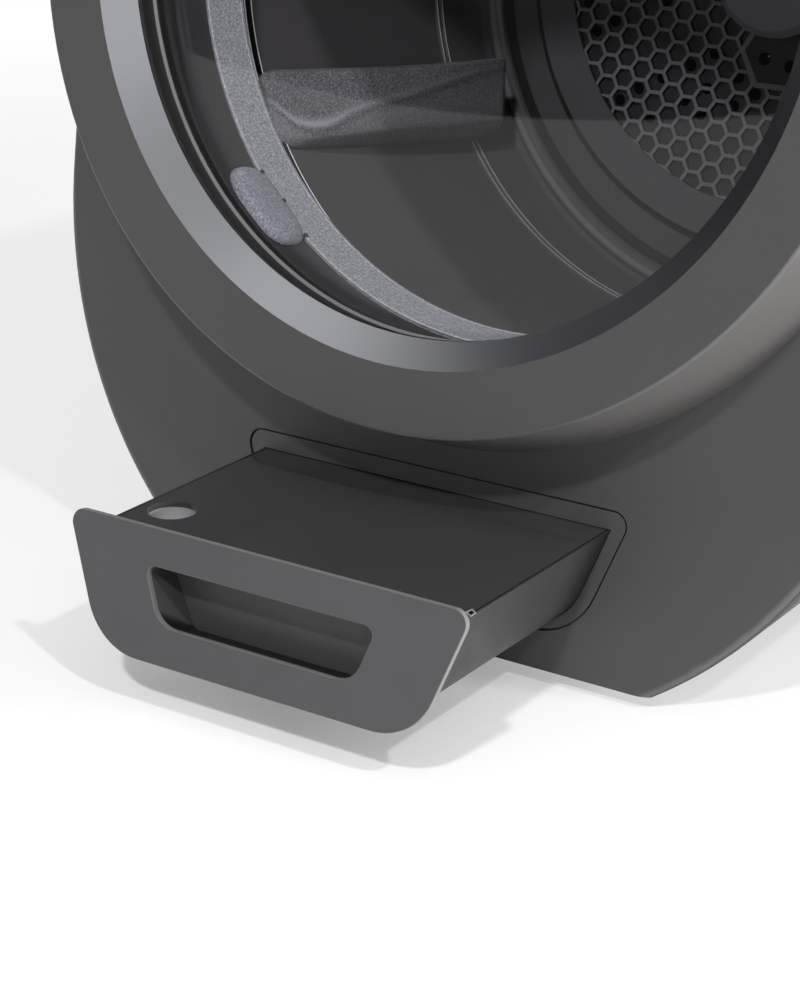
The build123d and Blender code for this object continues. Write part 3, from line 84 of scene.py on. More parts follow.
def new_group(name, kind, takes, gives):
    """Node group with its sockets, listed by name, kind and, where it has one, first value."""
    tree = bpy.data.node_groups.new(name, kind)
    for way, rows in (("INPUT", takes), ("OUTPUT", gives)):
        for label, socket_kind, *value in rows:
            made = tree.interface.new_socket(name=label, in_out=way, socket_type=socket_kind)
            if value:
                made.default_value = value[0]
    start = add(tree, "NodeGroupInput")
    end = add(tree, "NodeGroupOutput")
    return tree, start.outputs, end.inputs


def math_node(tree, operation, first, second=0.0):
    node = add(tree, "ShaderNodeMath", operation=operation)
    plug(tree, first, node.inputs[0])
    plug(tree, second, node.inputs[1])
    return node.outputs[0]


def spread(tree, value, source, result=(0.0, 1.0)):
    """Map a value from one range to another, held at its ends."""
    node = add(tree, "ShaderNodeMapRange")
    for index, number in enumerate((*source, *result)):
        node.inputs[index + 1].default_value = number
    join(tree, value, node.inputs[0])
    return node.outputs[0]


def noise(tree, vector, scale, detail, roughness=0.5):
    node = add(tree, "ShaderNodeTexNoise")
    plug(tree, scale, node.inputs["Scale"])
    node.inputs["Detail"].default_value = detail
    node.inputs["Roughness"].default_value = roughness
    join(tree, vector, node.inputs["Vector"])
    return node.outputs["Fac"]


def blend_colours(tree, factor, first, second):
    node = add(tree, "ShaderNodeMix", data_type="RGBA")
    join(tree, factor, node.inputs["Factor"])
    for name, colour in (("A", first), ("B", second)):
        target = [s for s in node.inputs if s.name == name and s.type == "RGBA"][0]
        if isinstance(colour, tuple):
            target.default_value = (*colour, 1.0)
        else:
            join(tree, colour, target)
    return [s for s in node.outputs if s.type == "RGBA"][0]


# Shared effects

FLOAT = "NodeSocketFloat"
GEOMETRY = "NodeSocketGeometry"
MATERIAL = "NodeSocketMaterial"
GRAIN_SCALE = 1800.0
PATCH_SCALE = 7.0
METAL_PATCH_SCALE = 9.0
RUB_SCALE = 60.0
FLECK_SCALE = 1000.0
MARK_SCALE = 250.0
# Noise values between which each effect rises from none to full
PATCH_RANGE = (0.3, 0.7)
RUB_RANGE = (0.35, 0.75)
LIGHT_FLECK_RANGE = (0.52, 0.72)
DARK_FLECK_RANGE = (0.48, 0.30)


def make_moulded_grain():
    """Fine moulded texture with slow patches of tone and rubbed marks."""
    takes = (("Grain Scale", FLOAT, GRAIN_SCALE), ("Patch Scale", FLOAT, PATCH_SCALE))
    gives = (("Height", FLOAT), ("Patch", FLOAT), ("Rub", FLOAT))
    tree, start, end = new_group("moulded_grain", "ShaderNodeTree", takes, gives)
    place = add(tree, "ShaderNodeTexCoord").outputs["Object"]
    join(tree, noise(tree, place, start["Grain Scale"], detail=2.0), end["Height"])
    patch = noise(tree, place, start["Patch Scale"], detail=5.0)
    join(tree, spread(tree, patch, PATCH_RANGE), end["Patch"])
    rub = noise(tree, place, RUB_SCALE, detail=6.0, roughness=0.7)
    join(tree, spread(tree, rub, RUB_RANGE), end["Rub"])
    return tree


def make_fleck():
    """Fine light and dark flecks, as in filled plastic."""
    takes = (("Fleck Scale", FLOAT, FLECK_SCALE),)
    gives = (("Light", FLOAT), ("Dark", FLOAT))
    tree, start, end = new_group("fleck", "ShaderNodeTree", takes, gives)
    place = add(tree, "ShaderNodeTexCoord").outputs["Object"]
    fleck = noise(tree, place, start["Fleck Scale"], detail=1.5)
    join(tree, spread(tree, fleck, LIGHT_FLECK_RANGE), end["Light"])
    join(tree, spread(tree, fleck, DARK_FLECK_RANGE), end["Dark"])
    return tree


def make_turning_marks():
    """Fine marks round the leaning axis, as turning leaves them."""
    takes = (("Mark Scale", FLOAT, MARK_SCALE),)
    tree, start, end = new_group("turning_marks", "ShaderNodeTree", takes, (("Marks", FLOAT),))
    place = add(tree, "ShaderNodeTexCoord")
    turn = add(tree, "ShaderNodeMapping", vector_type="TEXTURE")
    turn.inputs["Location"].default_value = DOOR_CENTRE
    turn.inputs["Rotation"].default_value = (math.pi / 2 - FRONT_TILT, 0.0, 0.0)
    join(tree, place.outputs["Object"], turn.inputs["Vector"])
    parts = add(tree, "ShaderNodeSeparateXYZ")
    join(tree, turn.outputs["Vector"], parts.inputs["Vector"])
    square_x = math_node(tree, "MULTIPLY", parts.outputs["X"], parts.outputs["X"])
    square_y = math_node(tree, "MULTIPLY", parts.outputs["Y"], parts.outputs["Y"])
    radius = math_node(tree, "SQRT", math_node(tree, "ADD", square_x, square_y))
    both = add(tree, "ShaderNodeCombineXYZ")
    join(tree, radius, both.inputs["X"])
    join(tree, parts.outputs["Z"], both.inputs["Y"])
    join(tree, noise(tree, both.outputs["Vector"], start["Mark Scale"], detail=3.0), end["Marks"])
    return tree


MOULDED_GRAIN = make_moulded_grain()
FLECK = make_fleck()
TURNING_MARKS = make_turning_marks()


# Kinds of finish

# How far roughness swings either way on flecked plastic, and the height of its flecks
FLECK_SWING = 0.06
FLECK_DEPTH = 0.00001
FLECK_STRENGTH = 0.6
# Facing values where a shell's side takes over from its face, and where the painted highlight along its edge
# begins and ends
SIDE_TAKES_OVER = (0.94, 0.70)
EDGE_LEAVES_FACE = (0.985, 0.93)
EDGE_MEETS_SIDE = (0.45, 0.75)
# Upward shares of the normal between which a wall becomes a floor and takes its painted shade
WALL_TO_FLOOR = (0.45, 0.75)
GLASS_INDEX = 1.45
GLASS_SMEAR = 0.002
GLASS_CLEARNESS = 0.98


def new_material(name):
    material = bpy.data.materials.new(name)
    material.use_nodes = True
    tree = material.node_tree
    return material, tree, tree.nodes["Principled BSDF"]


def place_group(tree, group, **values):
    node = add(tree, "ShaderNodeGroup", node_tree=group)
    for name, value in values.items():
        node.inputs[name.replace("_", " ").title()].default_value = value
    return node.outputs


def raise_surface(tree, shader, height, distance, strength=1.0):
    bump = add(tree, "ShaderNodeBump")
    bump.inputs["Strength"].default_value = strength
    bump.inputs["Distance"].default_value = distance
    join(tree, height, bump.inputs["Height"])
    join(tree, bump.outputs["Normal"], shader.inputs["Normal"])


def tint(material, mask, colour):
    """Blend a colour over a material's own where the mask is high."""
    tree = material.node_tree
    base = tree.nodes["Principled BSDF"].inputs["Base Color"]
    under = base.links[0].from_socket
    join(tree, blend_colours(tree, mask, under, colour), base)


def mix_surface(tree, share, first, second):
    """Mix two shaders by a share, as the material's surface."""
    mix = add(tree, "ShaderNodeMixShader")
    for target, source in zip(mix.inputs, (share, first, second)):
        join(tree, source, target)
    join(tree, mix.outputs["Shader"], tree.nodes["Material Output"].inputs["Surface"])


def front_facing(tree):
    """How squarely a surface faces along the leaning axis, which is 1 for the front."""
    place = add(tree, "ShaderNodeTexCoord")
    facing = add(tree, "ShaderNodeVectorMath", operation="DOT_PRODUCT")
    facing.inputs[1].default_value = (0.0, -FRONT_COSINE, FRONT_SINE)
    join(tree, place.outputs["Normal"], facing.inputs[0])
    return facing.outputs["Value"]


def moulded(name, dark, light, rough, grain=GRAIN_SCALE, depth=0.00004, rub=0.10, specular=0.5):
    """Moulded plastic or paint: tone drifts between two colours, with a fine grain and rubbed patches."""
    material, tree, shader = new_material(name)
    marks = place_group(tree, MOULDED_GRAIN, grain_scale=grain, patch_scale=PATCH_SCALE)
    join(tree, blend_colours(tree, marks["Patch"], dark, light), shader.inputs["Base Color"])
    roughness = spread(tree, marks["Rub"], (0.0, 1.0), (rough + rub / 2, rough - rub / 2))
    join(tree, roughness, shader.inputs["Roughness"])
    shader.inputs["Specular IOR Level"].default_value = specular
    raise_surface(tree, shader, marks["Height"], depth)
    return material


def flecked(name, base, light, dark, rough):
    """Filled plastic with light and dark flecks."""
    material, tree, shader = new_material(name)
    flecks = place_group(tree, FLECK, fleck_scale=FLECK_SCALE)
    lighter = blend_colours(tree, flecks["Light"], base, light)
    join(tree, blend_colours(tree, flecks["Dark"], lighter, dark), shader.inputs["Base Color"])
    rub = place_group(tree, MOULDED_GRAIN)["Rub"]
    roughness = spread(tree, rub, (0.0, 1.0), (rough + FLECK_SWING, rough - FLECK_SWING))
    join(tree, roughness, shader.inputs["Roughness"])
    raise_surface(tree, shader, flecks["Light"], FLECK_DEPTH, FLECK_STRENGTH)
    return material


def turned_metal(name, dark, light, rough, metallic, scale=MARK_SCALE, swing=0.01):
    """Metal with marks that run round the leaning axis."""
    material, tree, shader = new_material(name)
    marks = place_group(tree, TURNING_MARKS, mark_scale=scale)["Marks"]
    patch = place_group(tree, MOULDED_GRAIN, patch_scale=METAL_PATCH_SCALE)["Patch"]
    mixed = math_node(tree, "MULTIPLY", marks, patch)
    join(tree, blend_colours(tree, mixed, dark, light), shader.inputs["Base Color"])
    roughness = spread(tree, marks, (0.3, 0.7), (rough - swing, rough + swing))
    join(tree, roughness, shader.inputs["Roughness"])
    shader.inputs["Metallic"].default_value = metallic
    return material


def shell_with_painted_edges(name, face, side):
    """Moulded shell whose sides, turned away from the leaning front, get a painted tone and a roughness of
    their own, with a painted highlight line along the edge between face and side.
    """
    material = moulded(name, *face)
    side_painted_light, edge_painted_highlight, side_rough = side
    tree = material.node_tree
    facing = front_facing(tree)
    turned_away = spread(tree, facing, SIDE_TAKES_OVER)
    # Painted light on the sides: painted shade on the panel, painted highlight on the ring and plate.
    tint(material, turned_away, side_painted_light)
    # Painted highlight line along the rounded edge between face and side.
    leaving = spread(tree, facing, EDGE_LEAVES_FACE)
    meeting = spread(tree, facing, EDGE_MEETS_SIDE)
    tint(material, math_node(tree, "MULTIPLY", leaving, meeting), edge_painted_highlight)
    target = tree.nodes["Principled BSDF"].inputs["Roughness"]
    face_rough = target.links[0].from_socket
    kept = math_node(tree, "MULTIPLY", face_rough, math_node(tree, "SUBTRACT", 1.0, turned_away))
    smooth = math_node(tree, "MULTIPLY", turned_away, side_rough)
    join(tree, math_node(tree, "ADD", kept, smooth), target)
    return material


def cup_with_painted_floor_shade(name, dark, light, floor, rough):
    """Moulded cup whose upward faces are darker: painted shade on the floor of the recess."""
    material = moulded(name, dark, light, rough)
    tree = material.node_tree
    place = add(tree, "ShaderNodeTexCoord")
    parts = add(tree, "ShaderNodeSeparateXYZ")
    join(tree, place.outputs["Normal"], parts.inputs["Vector"])
    # Painted shade on the upward faces.
    tint(material, spread(tree, parts.outputs["Z"], WALL_TO_FLOOR), floor)
    return material


def clear_pane(name, glass_tint):
    """Clear pane with faint smears, which lets lamp light through to what lies behind it."""
    material, tree, shader = new_material(name)
    shader.inputs["Base Color"].default_value = (*glass_tint, 1.0)
    shader.inputs["Transmission Weight"].default_value = 1.0
    shader.inputs["IOR"].default_value = GLASS_INDEX
    rub = place_group(tree, MOULDED_GRAIN)["Rub"]
    join(tree, spread(tree, rub, (0.0, 1.0), (0.0, GLASS_SMEAR)), shader.inputs["Roughness"])
    open_pane = add(tree, "ShaderNodeBsdfTransparent")
    open_pane.inputs["Color"].default_value = (GLASS_CLEARNESS, GLASS_CLEARNESS, GLASS_CLEARNESS, 1.0)
    path = add(tree, "ShaderNodeLightPath")
    mix_surface(tree, path.outputs["Is Shadow Ray"], shader.outputs["BSDF"], open_pane.outputs["BSDF"])
    return material


# Finishes of this part

RUBBER = {"grain": 900.0, "depth": 0.00008}
SEAL = {"grain": 900.0, "depth": 0.00001, "rub": 0.03}
INNER = {"grain": 1200.0, "depth": 0.00001, "rub": 0.04}
GRILLE = {"grain": 1500.0, "depth": 0.00002}
SMOOTH = {"grain": 300.0, "depth": 0.000002}
MACHINED = {"grain": 1200.0, "depth": 0.00001}
CAST = {"grain": 900.0, "depth": 0.00006}
SATIN = {"depth": 0.000002, "rub": 0.03, "specular": 0.9}
# Dark tone, light tone, roughness and what differs from the usual grain
MOULDED = {
    "charcoal_shell": ((0.043, 0.0425, 0.044), (0.050, 0.0495, 0.051), 0.48, {}),
    "seal_black": ((0.013, 0.013, 0.014), (0.018, 0.018, 0.019), 0.52, SEAL),
    "foot_rubber": ((0.012, 0.012, 0.012), (0.020, 0.020, 0.020), 0.75, RUBBER),
    "display_pane": ((0.004, 0.004, 0.005), (0.007, 0.007, 0.008), 0.08, SMOOTH),
    "mouth_black": ((0.015, 0.015, 0.016), (0.021, 0.021, 0.022), 0.50, INNER),
    "duct_grey": ((0.042, 0.042, 0.045), (0.052, 0.052, 0.055), 0.50, INNER),
    "grille_grey": ((0.108, 0.108, 0.118), (0.126, 0.126, 0.137), 0.45, GRILLE),
    "cap_grey": ((0.140, 0.140, 0.152), (0.160, 0.160, 0.173), 0.45, GRILLE),
    "grille_back": ((0.019, 0.019, 0.0212), (0.025, 0.025, 0.0275), 0.6, {}),
    # Flat black for holes and gaps: painted shade for their dark insides.
    "hole_black": ((0.0012, 0.0012, 0.0013), (0.0018, 0.0018, 0.0019), 0.8, {"specular": 0.2}),
    "machined_steel": ((0.30, 0.30, 0.31), (0.40, 0.40, 0.41), 0.32, MACHINED),
    "cast_alloy": ((0.34, 0.34, 0.35), (0.44, 0.44, 0.45), 0.48, CAST),
    "coated_steel": ((0.10, 0.10, 0.105), (0.13, 0.13, 0.135), 0.42, {}),
    "catch_grey": ((0.035, 0.035, 0.037), (0.045, 0.045, 0.047), 0.5, {}),
    "tank_satin": ((0.033, 0.033, 0.035), (0.038, 0.038, 0.040), 0.13, SATIN),
    "tank_side": ((0.023, 0.0222, 0.0218), (0.028, 0.0272, 0.0268), 0.50, {"specular": 0.3}),
    "liner_grey": ((0.22, 0.22, 0.23), (0.27, 0.27, 0.28), 0.45, {}),
    "board_green": ((0.01, 0.06, 0.025), (0.02, 0.09, 0.04), 0.4, {}),
    "button_grey": ((0.10, 0.10, 0.105), (0.13, 0.13, 0.135), 0.42, {}),
}
# Dark tone, light tone, roughness and metallic share, then the scale and swing of the marks where they differ
TURNED = {
    "satin_bevel": ((0.37, 0.375, 0.40), (0.40, 0.405, 0.435), 0.26, 1.0, 300.0, 0.015),
    "bright_bead": ((0.40, 0.40, 0.415), (0.50, 0.50, 0.515), 0.36, 0.5, 300.0, 0.02),
    "drum_coat": ((0.112, 0.1050, 0.1105), (0.125, 0.1175, 0.1230), 0.36, 0.3),
    "wall_coat": ((0.080, 0.0784, 0.0850), (0.092, 0.0904, 0.0970), 0.46, 0.2),
    "corner_coat": ((0.081, 0.0790, 0.0831), (0.093, 0.0911, 0.0951), 0.42, 0.3),
    "shade_coat": ((0.072, 0.0702, 0.0745), (0.080, 0.0782, 0.0825), 0.45, 0.2),
    "deep_coat": ((0.021, 0.0205, 0.0218), (0.026, 0.0255, 0.0268), 0.50, 0.2),
    "bead_line": ((0.52, 0.52, 0.54), (0.60, 0.60, 0.62), 0.36, 0.3),
    "front_line": ((0.80, 0.80, 0.82), (0.86, 0.86, 0.88), 0.40, 0.1),
}
# Ground tone, light flecks, dark flecks and roughness
FLECKED = {
    "flecked_grey": ((0.290, 0.296, 0.326), (0.48, 0.489, 0.535), (0.165, 0.168, 0.186), 0.6),
    "flecked_light": ((0.37, 0.375, 0.403), (0.54, 0.548, 0.589), (0.24, 0.243, 0.261), 0.55),
    "flecked_lamp": ((0.270, 0.275, 0.313), (0.46, 0.468, 0.528), (0.150, 0.153, 0.174), 0.45),
    "flecked_lifter": ((0.122, 0.122, 0.138), (0.270, 0.273, 0.304), (0.047, 0.047, 0.053), 0.42),
}
# Dark tone, light tone and roughness of the face, then the side's painted light (painted shade on the panel,
# painted highlight on the ring and plate), the edge's painted highlight and roughness of the side
PAINTED_EDGE_SHELLS = {
    "panel_shell": (
        ((0.045, 0.0445, 0.046), (0.052, 0.0515, 0.053), 0.48),
        ((0.020, 0.020, 0.021), (0.085, 0.085, 0.086), 0.5),
    ),
    "ring_shell": (
        ((0.046, 0.0455, 0.047), (0.052, 0.0515, 0.0535), 0.48),
        ((0.097, 0.093, 0.091), (0.078, 0.078, 0.078), 0.30),
    ),
    "plate_shell": (
        ((0.047, 0.0455, 0.049), (0.055, 0.0535, 0.057), 0.46),
        ((0.15, 0.15, 0.153), (0.082, 0.082, 0.084), 0.30),
    ),
}
# Cup tones, dark and light, then the darker tone of its floor, which is painted shade in the grip recess
GRIP_TONES = ((0.044, 0.0435, 0.045), (0.054, 0.0535, 0.055), (0.007, 0.007, 0.008))
GRIP_ROUGHNESS = 0.45
PANE_TINT = (0.95, 0.95, 0.96)
# Painted highlight colour along the lifters' ridges and lower flanks
LIFTER_CREST_HIGHLIGHT = (0.52, 0.528, 0.572)
# Painted highlight along the rear roll's crest, and the facing values over which it fades in
ROLL_CREST_HIGHLIGHT = (0.20, 0.197, 0.204)
ROLL_HIGHLIGHT_FACING = (0.965, 0.999)

FINISH = {
    "grip_grey": cup_with_painted_floor_shade("grip_grey", *GRIP_TONES, GRIP_ROUGHNESS),
    "door_pane": clear_pane("door_pane", PANE_TINT),
}
for name, (dark, light, rough, options) in MOULDED.items():
    FINISH[name] = moulded(name, dark, light, rough, **options)
for kind, rows in ((turned_metal, TURNED), (flecked, FLECKED), (shell_with_painted_edges, PAINTED_EDGE_SHELLS)):
    for name, row in rows.items():
        FINISH[name] = kind(name, *row)


def paint_crest_highlights():
    """Paint highlights: along the lifters' ridges, and as lighter lower flanks, by their attribute, and on
    the rear roll where it faces the front.
    """
    lifter = FINISH["flecked_lifter"]
    # Painted highlight on the lifters, by their attribute.
    mask = add(lifter.node_tree, "ShaderNodeAttribute", attribute_name="crest_highlight")
    tint(lifter, mask.outputs["Fac"], LIFTER_CREST_HIGHLIGHT)
    # Painted highlight on the rear roll's crest where it faces the front.
    roll_coat = FINISH["corner_coat"]
    facing = front_facing(roll_coat.node_tree)
    tint(roll_coat, spread(roll_coat.node_tree, facing, ROLL_HIGHLIGHT_FACING), ROLL_CREST_HIGHLIGHT)


paint_crest_highlights()

NODE_FINISH = {
    "panel_shell": "front_panel",
    "charcoal_shell": "cabinet_shell rear_panel base_tray door_back_cover control_console",
    "ring_shell": "door_ring",
    "plate_shell": "tank_front_plate",
    "satin_bevel": "door_bevel",
    "seal_black": "glass_gasket",
    "foot_rubber": "foot_strips drive_belt drain_pipe",
    "bright_bead": "silver_bead",
    "door_pane": "door_glass",
    "display_pane": "display_window",
    "mouth_black": "glass_clamp tank_bay fan_housing fan_wheel lock_housing power_inlet drain_pump",
    "duct_grey": "mouth_duct",
    "flecked_grey": "mouth_collar",
    "flecked_lamp": "drum_lamp",
    "flecked_lifter": "lifter_1 lifter_2 lifter_3",
    "drum_coat": "drum_shell",
    "wall_coat": "drum_rear_wall",
    "grille_grey": "honeycomb_grille hub_cover",
    "cap_grey": "hub_cap",
    "machined_steel": (
        "hinge_bracket hinge_leaf hinge_pin door_strike lock_bolt hub_screws rear_screws"
        " drum_shaft shaft_bearings motor_shaft"
    ),
    "cast_alloy": "drum_spider drum_pulley bearing_housing motor_pulley heater condenser",
    "coated_steel": "rear_bulkhead motor_housing motor_bracket fan_motor",
    "tank_satin": "tank_lid",
    "tank_side": "tank_body",
    "grip_grey": "grip_cup",
    "board_green": "control_board",
    "button_grey": "power_button start_button",
}
for finish, nodes in NODE_FINISH.items():
    for node in nodes.split():
        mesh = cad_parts[node].data
        mesh.materials.clear()
        mesh.materials.append(FINISH[finish])


# Piece building


def finished(mesh, body, finish=None, stands_for=()):
    """Link a mesh as a piece of the same name that rides on a body."""
    piece = bpy.data.objects.new(mesh.name, mesh)
    scene.collection.objects.link(piece)
    if finish:
        mesh.materials.append(FINISH[finish])
    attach(piece, body)
    if stands_for:
        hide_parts(*stands_for)


def turns(count):
    """Equal turns round a circle, in radians."""
    return [2.0 * math.pi * step / count for step in range(count)]


def on_circle(radius, turn, middle=(0.0, 0.0)):
    return middle[0] + radius * math.cos(turn), middle[1] + radius * math.sin(turn)


def loop_faces(rows, count, start=0, ends_meet=False):
    """Quads between rows of points, each row a closed loop."""
    faces = []
    for row in range(rows if ends_meet else rows - 1):
        after = (row + 1) % rows
        for index in range(count):
            beyond = (index + 1) % count
            corners = ((row, index), (after, index), (after, beyond), (row, beyond))
            faces.append(tuple(start + a * count + b for a, b in corners))
    return faces


def plain_mesh(name, points, faces, smooth):
    mesh = bpy.data.meshes.new(name)
    mesh.from_pydata(points, [], faces)
    mesh.validate()
    mesh.polygons.foreach_set("use_smooth", [smooth] * len(mesh.polygons))
    return mesh


def leaning_mesh(name, points, faces, smooth=True):
    """Mesh from points in the leaning front's own axes."""
    return plain_mesh(name, [LEANING @ Vector(point) for point in points], faces, smooth)


def lathe(name, *profiles, steps=160, smooth=False):
    """Closed rings about the leaning axis, each from points of radius and depth listed anticlockwise."""
    points = []
    faces = []
    for profile in profiles:
        faces.extend(loop_faces(steps, len(profile), len(points), True))
        for turn in turns(steps):
            points.extend((*on_circle(radius, turn), depth) for radius, depth in profile)
    return leaning_mesh(name, points, faces, smooth)


def band_profile(inner, outer, low, high):
    return [(inner, low), (outer, low), (outer, high), (inner, high)]


def round_profile(middle, size, sides):
    return [on_circle(size, turn, middle) for turn in turns(sides)]


def in_thirds(places):
    """Places in millimetres, repeated at every third of a turn, as points in metres."""
    points = []
    for third in range(3):
        turn = Matrix.Rotation(math.radians(THIRD_TURN * third), 3, "Z")
        for across, along in places:
            points.append(turn @ Vector((across / MILLIMETRES, along / MILLIMETRES, 0.0)))
    return points


# Lifters

LIFTER_ANGLE = -151.2
LIFTER_FOOT = 6.6
LIFTER_STEPS = 72
# Share of the drum's length, then angle from the lifter's middle in degrees and height in millimetres
# of the upper shoulder, the ridge and the lower shoulder
LIFTER_SECTIONS = (
    (0.048, -5.0, 1.0, -3.8, 2.0, 4.2, 1.5),
    (0.082, -5.6, 3.5, -1.2, 5.0, 5.0, 3.5),
    (0.115, -5.8, 6.0, 2.1, 8.0, 5.6, 5.5),
    (0.189, -5.8, 9.5, 3.4, 13.0, 6.0, 9.0),
    (0.287, -5.5, 15.5, 1.6, 18.0, 6.2, 12.0),
    (0.485, -5.0, 25.0, -0.5, 26.0, 6.3, 16.0),
    (0.682, -5.2, 31.0, -3.2, 30.6, 6.3, 17.5),
    (0.842, -5.8, 31.5, -5.0, 31.8, 6.0, 18.0),
)
# How much of each side is cut off at a corner, one pass after the other
CORNER_CUTS = (0.16, 0.25, 0.25, 0.25)
# Rounding of the front corners, as a share of the drum's length and as a turn in degrees
LIFTER_CORNER_SHARE = 0.090
LIFTER_CORNER_TURN = 4.6
# Height left on the last sections, where the rear end is eased
REAR_EASE = (0.985, 0.95)
# How strongly the ridge takes its painted highlight along the lifter, and how wide the highlight runs above
# and below the ridge, in degrees
CREST_HIGHLIGHT_STRENGTH = (
    (0.048, 0.10), (0.10, 0.40), (0.16, 0.54), (0.21, 0.54),
    (0.30, 0.28), (0.50, 0.24), (0.842, 0.10),
)
CREST_SHIFT = 0.6
CREST_ABOVE = 0.75
CREST_BELOW = 0.5
# Painted light on the lower flank, and how far below the ridge it starts, in degrees
FLANK_PAINTED_LIGHT = 0.16
FLANK_START = 1.0


def smooth_between(values, places, place):
    """Value of a smooth curve through a list of values at a place."""
    index = max(0, min(len(places) - 2, sum(1 for known in places if known <= place) - 1))
    slopes = []
    for spot in (index, index + 1):
        low = max(0, spot - 1)
        high = min(len(places) - 1, spot + 1)
        slopes.append((values[high] - values[low]) / (places[high] - places[low]))
    width = places[index + 1] - places[index]
    t = (place - places[index]) / width
    first = (2 * t**3 - 3 * t**2 + 1) * values[index] + (t**3 - 2 * t**2 + t) * width * slopes[0]
    second = (3 * t**2 - 2 * t**3) * values[index + 1] + (t**3 - t**2) * width * slopes[1]
    return first + second


def rounded_corners(points, ratio):
    """Cut the corners of an open run of points, keeping its ends."""
    result = [points[0]]
    for first, second in zip(points, points[1:]):
        share = ratio if first is not points[0] else 0.0
        rest = 1.0 - ratio if second is not points[-1] else 1.0
        for part in (share, rest):
            if part not in (0.0, 1.0):
                result.append([a + (b - a) * part for a, b in zip(first, second)])
    result.append(points[-1])
    return result


def lifter_section(share):
    """Rounded section of a lifter as angles, heights and painted-light values (painted highlight on the
    ridge, painted light on the lower flank), drawn in at the front corners.
    """
    places, *columns = zip(*LIFTER_SECTIONS)
    values = [smooth_between(column, places, share) for column in columns]
    run = [[-LIFTER_FOOT, 0.0], values[0:2], values[2:4], values[4:6], [LIFTER_FOOT, 0.0]]
    for ratio in CORNER_CUTS:
        run = rounded_corners(run, ratio)
    near = max(0.0, 1.0 - (share - places[0]) / LIFTER_CORNER_SHARE)
    narrow = 1.0 - LIFTER_CORNER_TURN / LIFTER_FOOT * (1.0 - math.sqrt(1.0 - near * near))
    crest_places, crest_values = zip(*CREST_HIGHLIGHT_STRENGTH)
    strength = smooth_between(crest_values, crest_places, share)
    ridge = values[2] + CREST_SHIFT
    result = []
    for turn, height in run:
        off = turn - ridge
        width = CREST_ABOVE if off < 0.0 else CREST_BELOW
        # Painted light on the lower flank and a painted highlight along the ridge.
        flank = FLANK_PAINTED_LIGHT * min(1.0, max(0.0, off - FLANK_START))
        crest_highlight = strength * math.exp(-((off / width) ** 2))
        result.append((turn * narrow, height, max(flank, crest_highlight)))
    return result


def make_lifter(number):
    """Paddle on the drum wall with a ridge that swings sideways."""
    first = LIFTER_SECTIONS[0][0]
    last = LIFTER_SECTIONS[-1][0]
    middle = LIFTER_ANGLE + THIRD_TURN * number
    ease = [1.0] * (LIFTER_STEPS + 1 - len(REAR_EASE)) + list(REAR_EASE)
    points = []
    crest_highlights = []
    for step in range(LIFTER_STEPS + 1):
        share = first + (last - first) * step / LIFTER_STEPS
        section = lifter_section(share)
        depth = DRUM_FRONT - share * DRUM_LENGTH
        for turn, height, crest_highlight in section:
            radius = DRUM_RADIUS - height * ease[step] / MILLIMETRES
            points.append((*on_circle(radius, math.radians(middle + turn)), depth))
            crest_highlights.append(crest_highlight)
    count = len(section)
    faces = [(face[0], *reversed(face[1:])) for face in loop_faces(LIFTER_STEPS + 1, count)]
    faces.append(tuple(reversed(range(count))))
    faces.append(tuple(range(len(points) - count, len(points))))
    mesh = leaning_mesh(f"lifter_skin_{number + 1}", points, faces)
    mesh.polygons[-1].use_smooth = False
    mesh.polygons[-2].use_smooth = False
    mesh.attributes.new("crest_highlight", "FLOAT", "POINT").data.foreach_set("value", crest_highlights)
    return mesh


for number in range(3):
    replaced = (f"lifter_{number + 1}",)
    finished(make_lifter(number), "drum", "flecked_lifter", replaced)


# Grille

GRILLE_DEPTH = -0.340
GRILLE_RADIUS = 0.122
CELL_PITCH = 0.0112
CELL_WALL = 0.0019
CELL_DEPTH = 0.0030
CELL_COLUMNS = 29
CELL_ROWS = 25
CELL_CLEAR = 0.02
CELL_FACE = GRILLE_DEPTH - 0.0003
PLATE_BORE = 0.0005
PLATE_RIM = GRILLE_RADIUS + 0.007
PLATE_THICKNESS = 0.001
# Place of the cell lattice on the leaning axis, with its slight turn
LATTICE = Matrix(
    (
        (1.0136, 0.0436, 0.0, 0.00705),
        (-0.0029, 0.9856, 0.0, -0.0037),
        (0.0, 0.0, 1.0, CELL_FACE),
        (0.0, 0.0, 0.0, 1.0),
    )
)
# Air holes behind the cells, across and along in millimetres. They repeat at every third of a turn.
# Each air hole is a flat black spot, painted shade standing for the dark inside of the hole.
AIR_HOLE_RADIUS = 0.0031
AIR_HOLE_SHIFT = (0.0, 0.0, GRILLE_DEPTH - CELL_DEPTH - 0.0002)
AIR_HOLES = (
    (-94.5, -35.2), (-104.9, -41.6), (-112.2, -26.7), (-75.8, -69.1),
    (-86.5, -76.3), (-62.6, -61.8), (-46.5, -53.5), (-33.5, -45.9),
    (-35.7, -64.4), (-48.0, -72.1), (-67.5, -83.5), (-37.7, -78.3),
    (-19.0, -71.7), (-18.2, -56.8), (-7.3, -64.3), (-64.7, -21.3),
)


def place_on_points(tree, points, shape, coats, end):
    """Put a shape on every point and coat it, each coat with its faces, or none for all, and a finish."""
    placed = add(tree, "GeometryNodeInstanceOnPoints")
    join(tree, points, placed.inputs["Points"])
    join(tree, shape, placed.inputs["Instance"])
    real = add(tree, "GeometryNodeRealizeInstances")
    join(tree, placed.outputs["Instances"], real.inputs["Geometry"])
    result = real.outputs["Geometry"]
    for faces, finish in coats:
        coat = add(tree, "GeometryNodeSetMaterial")
        join(tree, result, coat.inputs["Geometry"])
        join(tree, finish, coat.inputs["Material"])
        if faces:
            join(tree, faces, coat.inputs["Selection"])
        result = coat.outputs["Geometry"]
    join(tree, result, end["Geometry"])


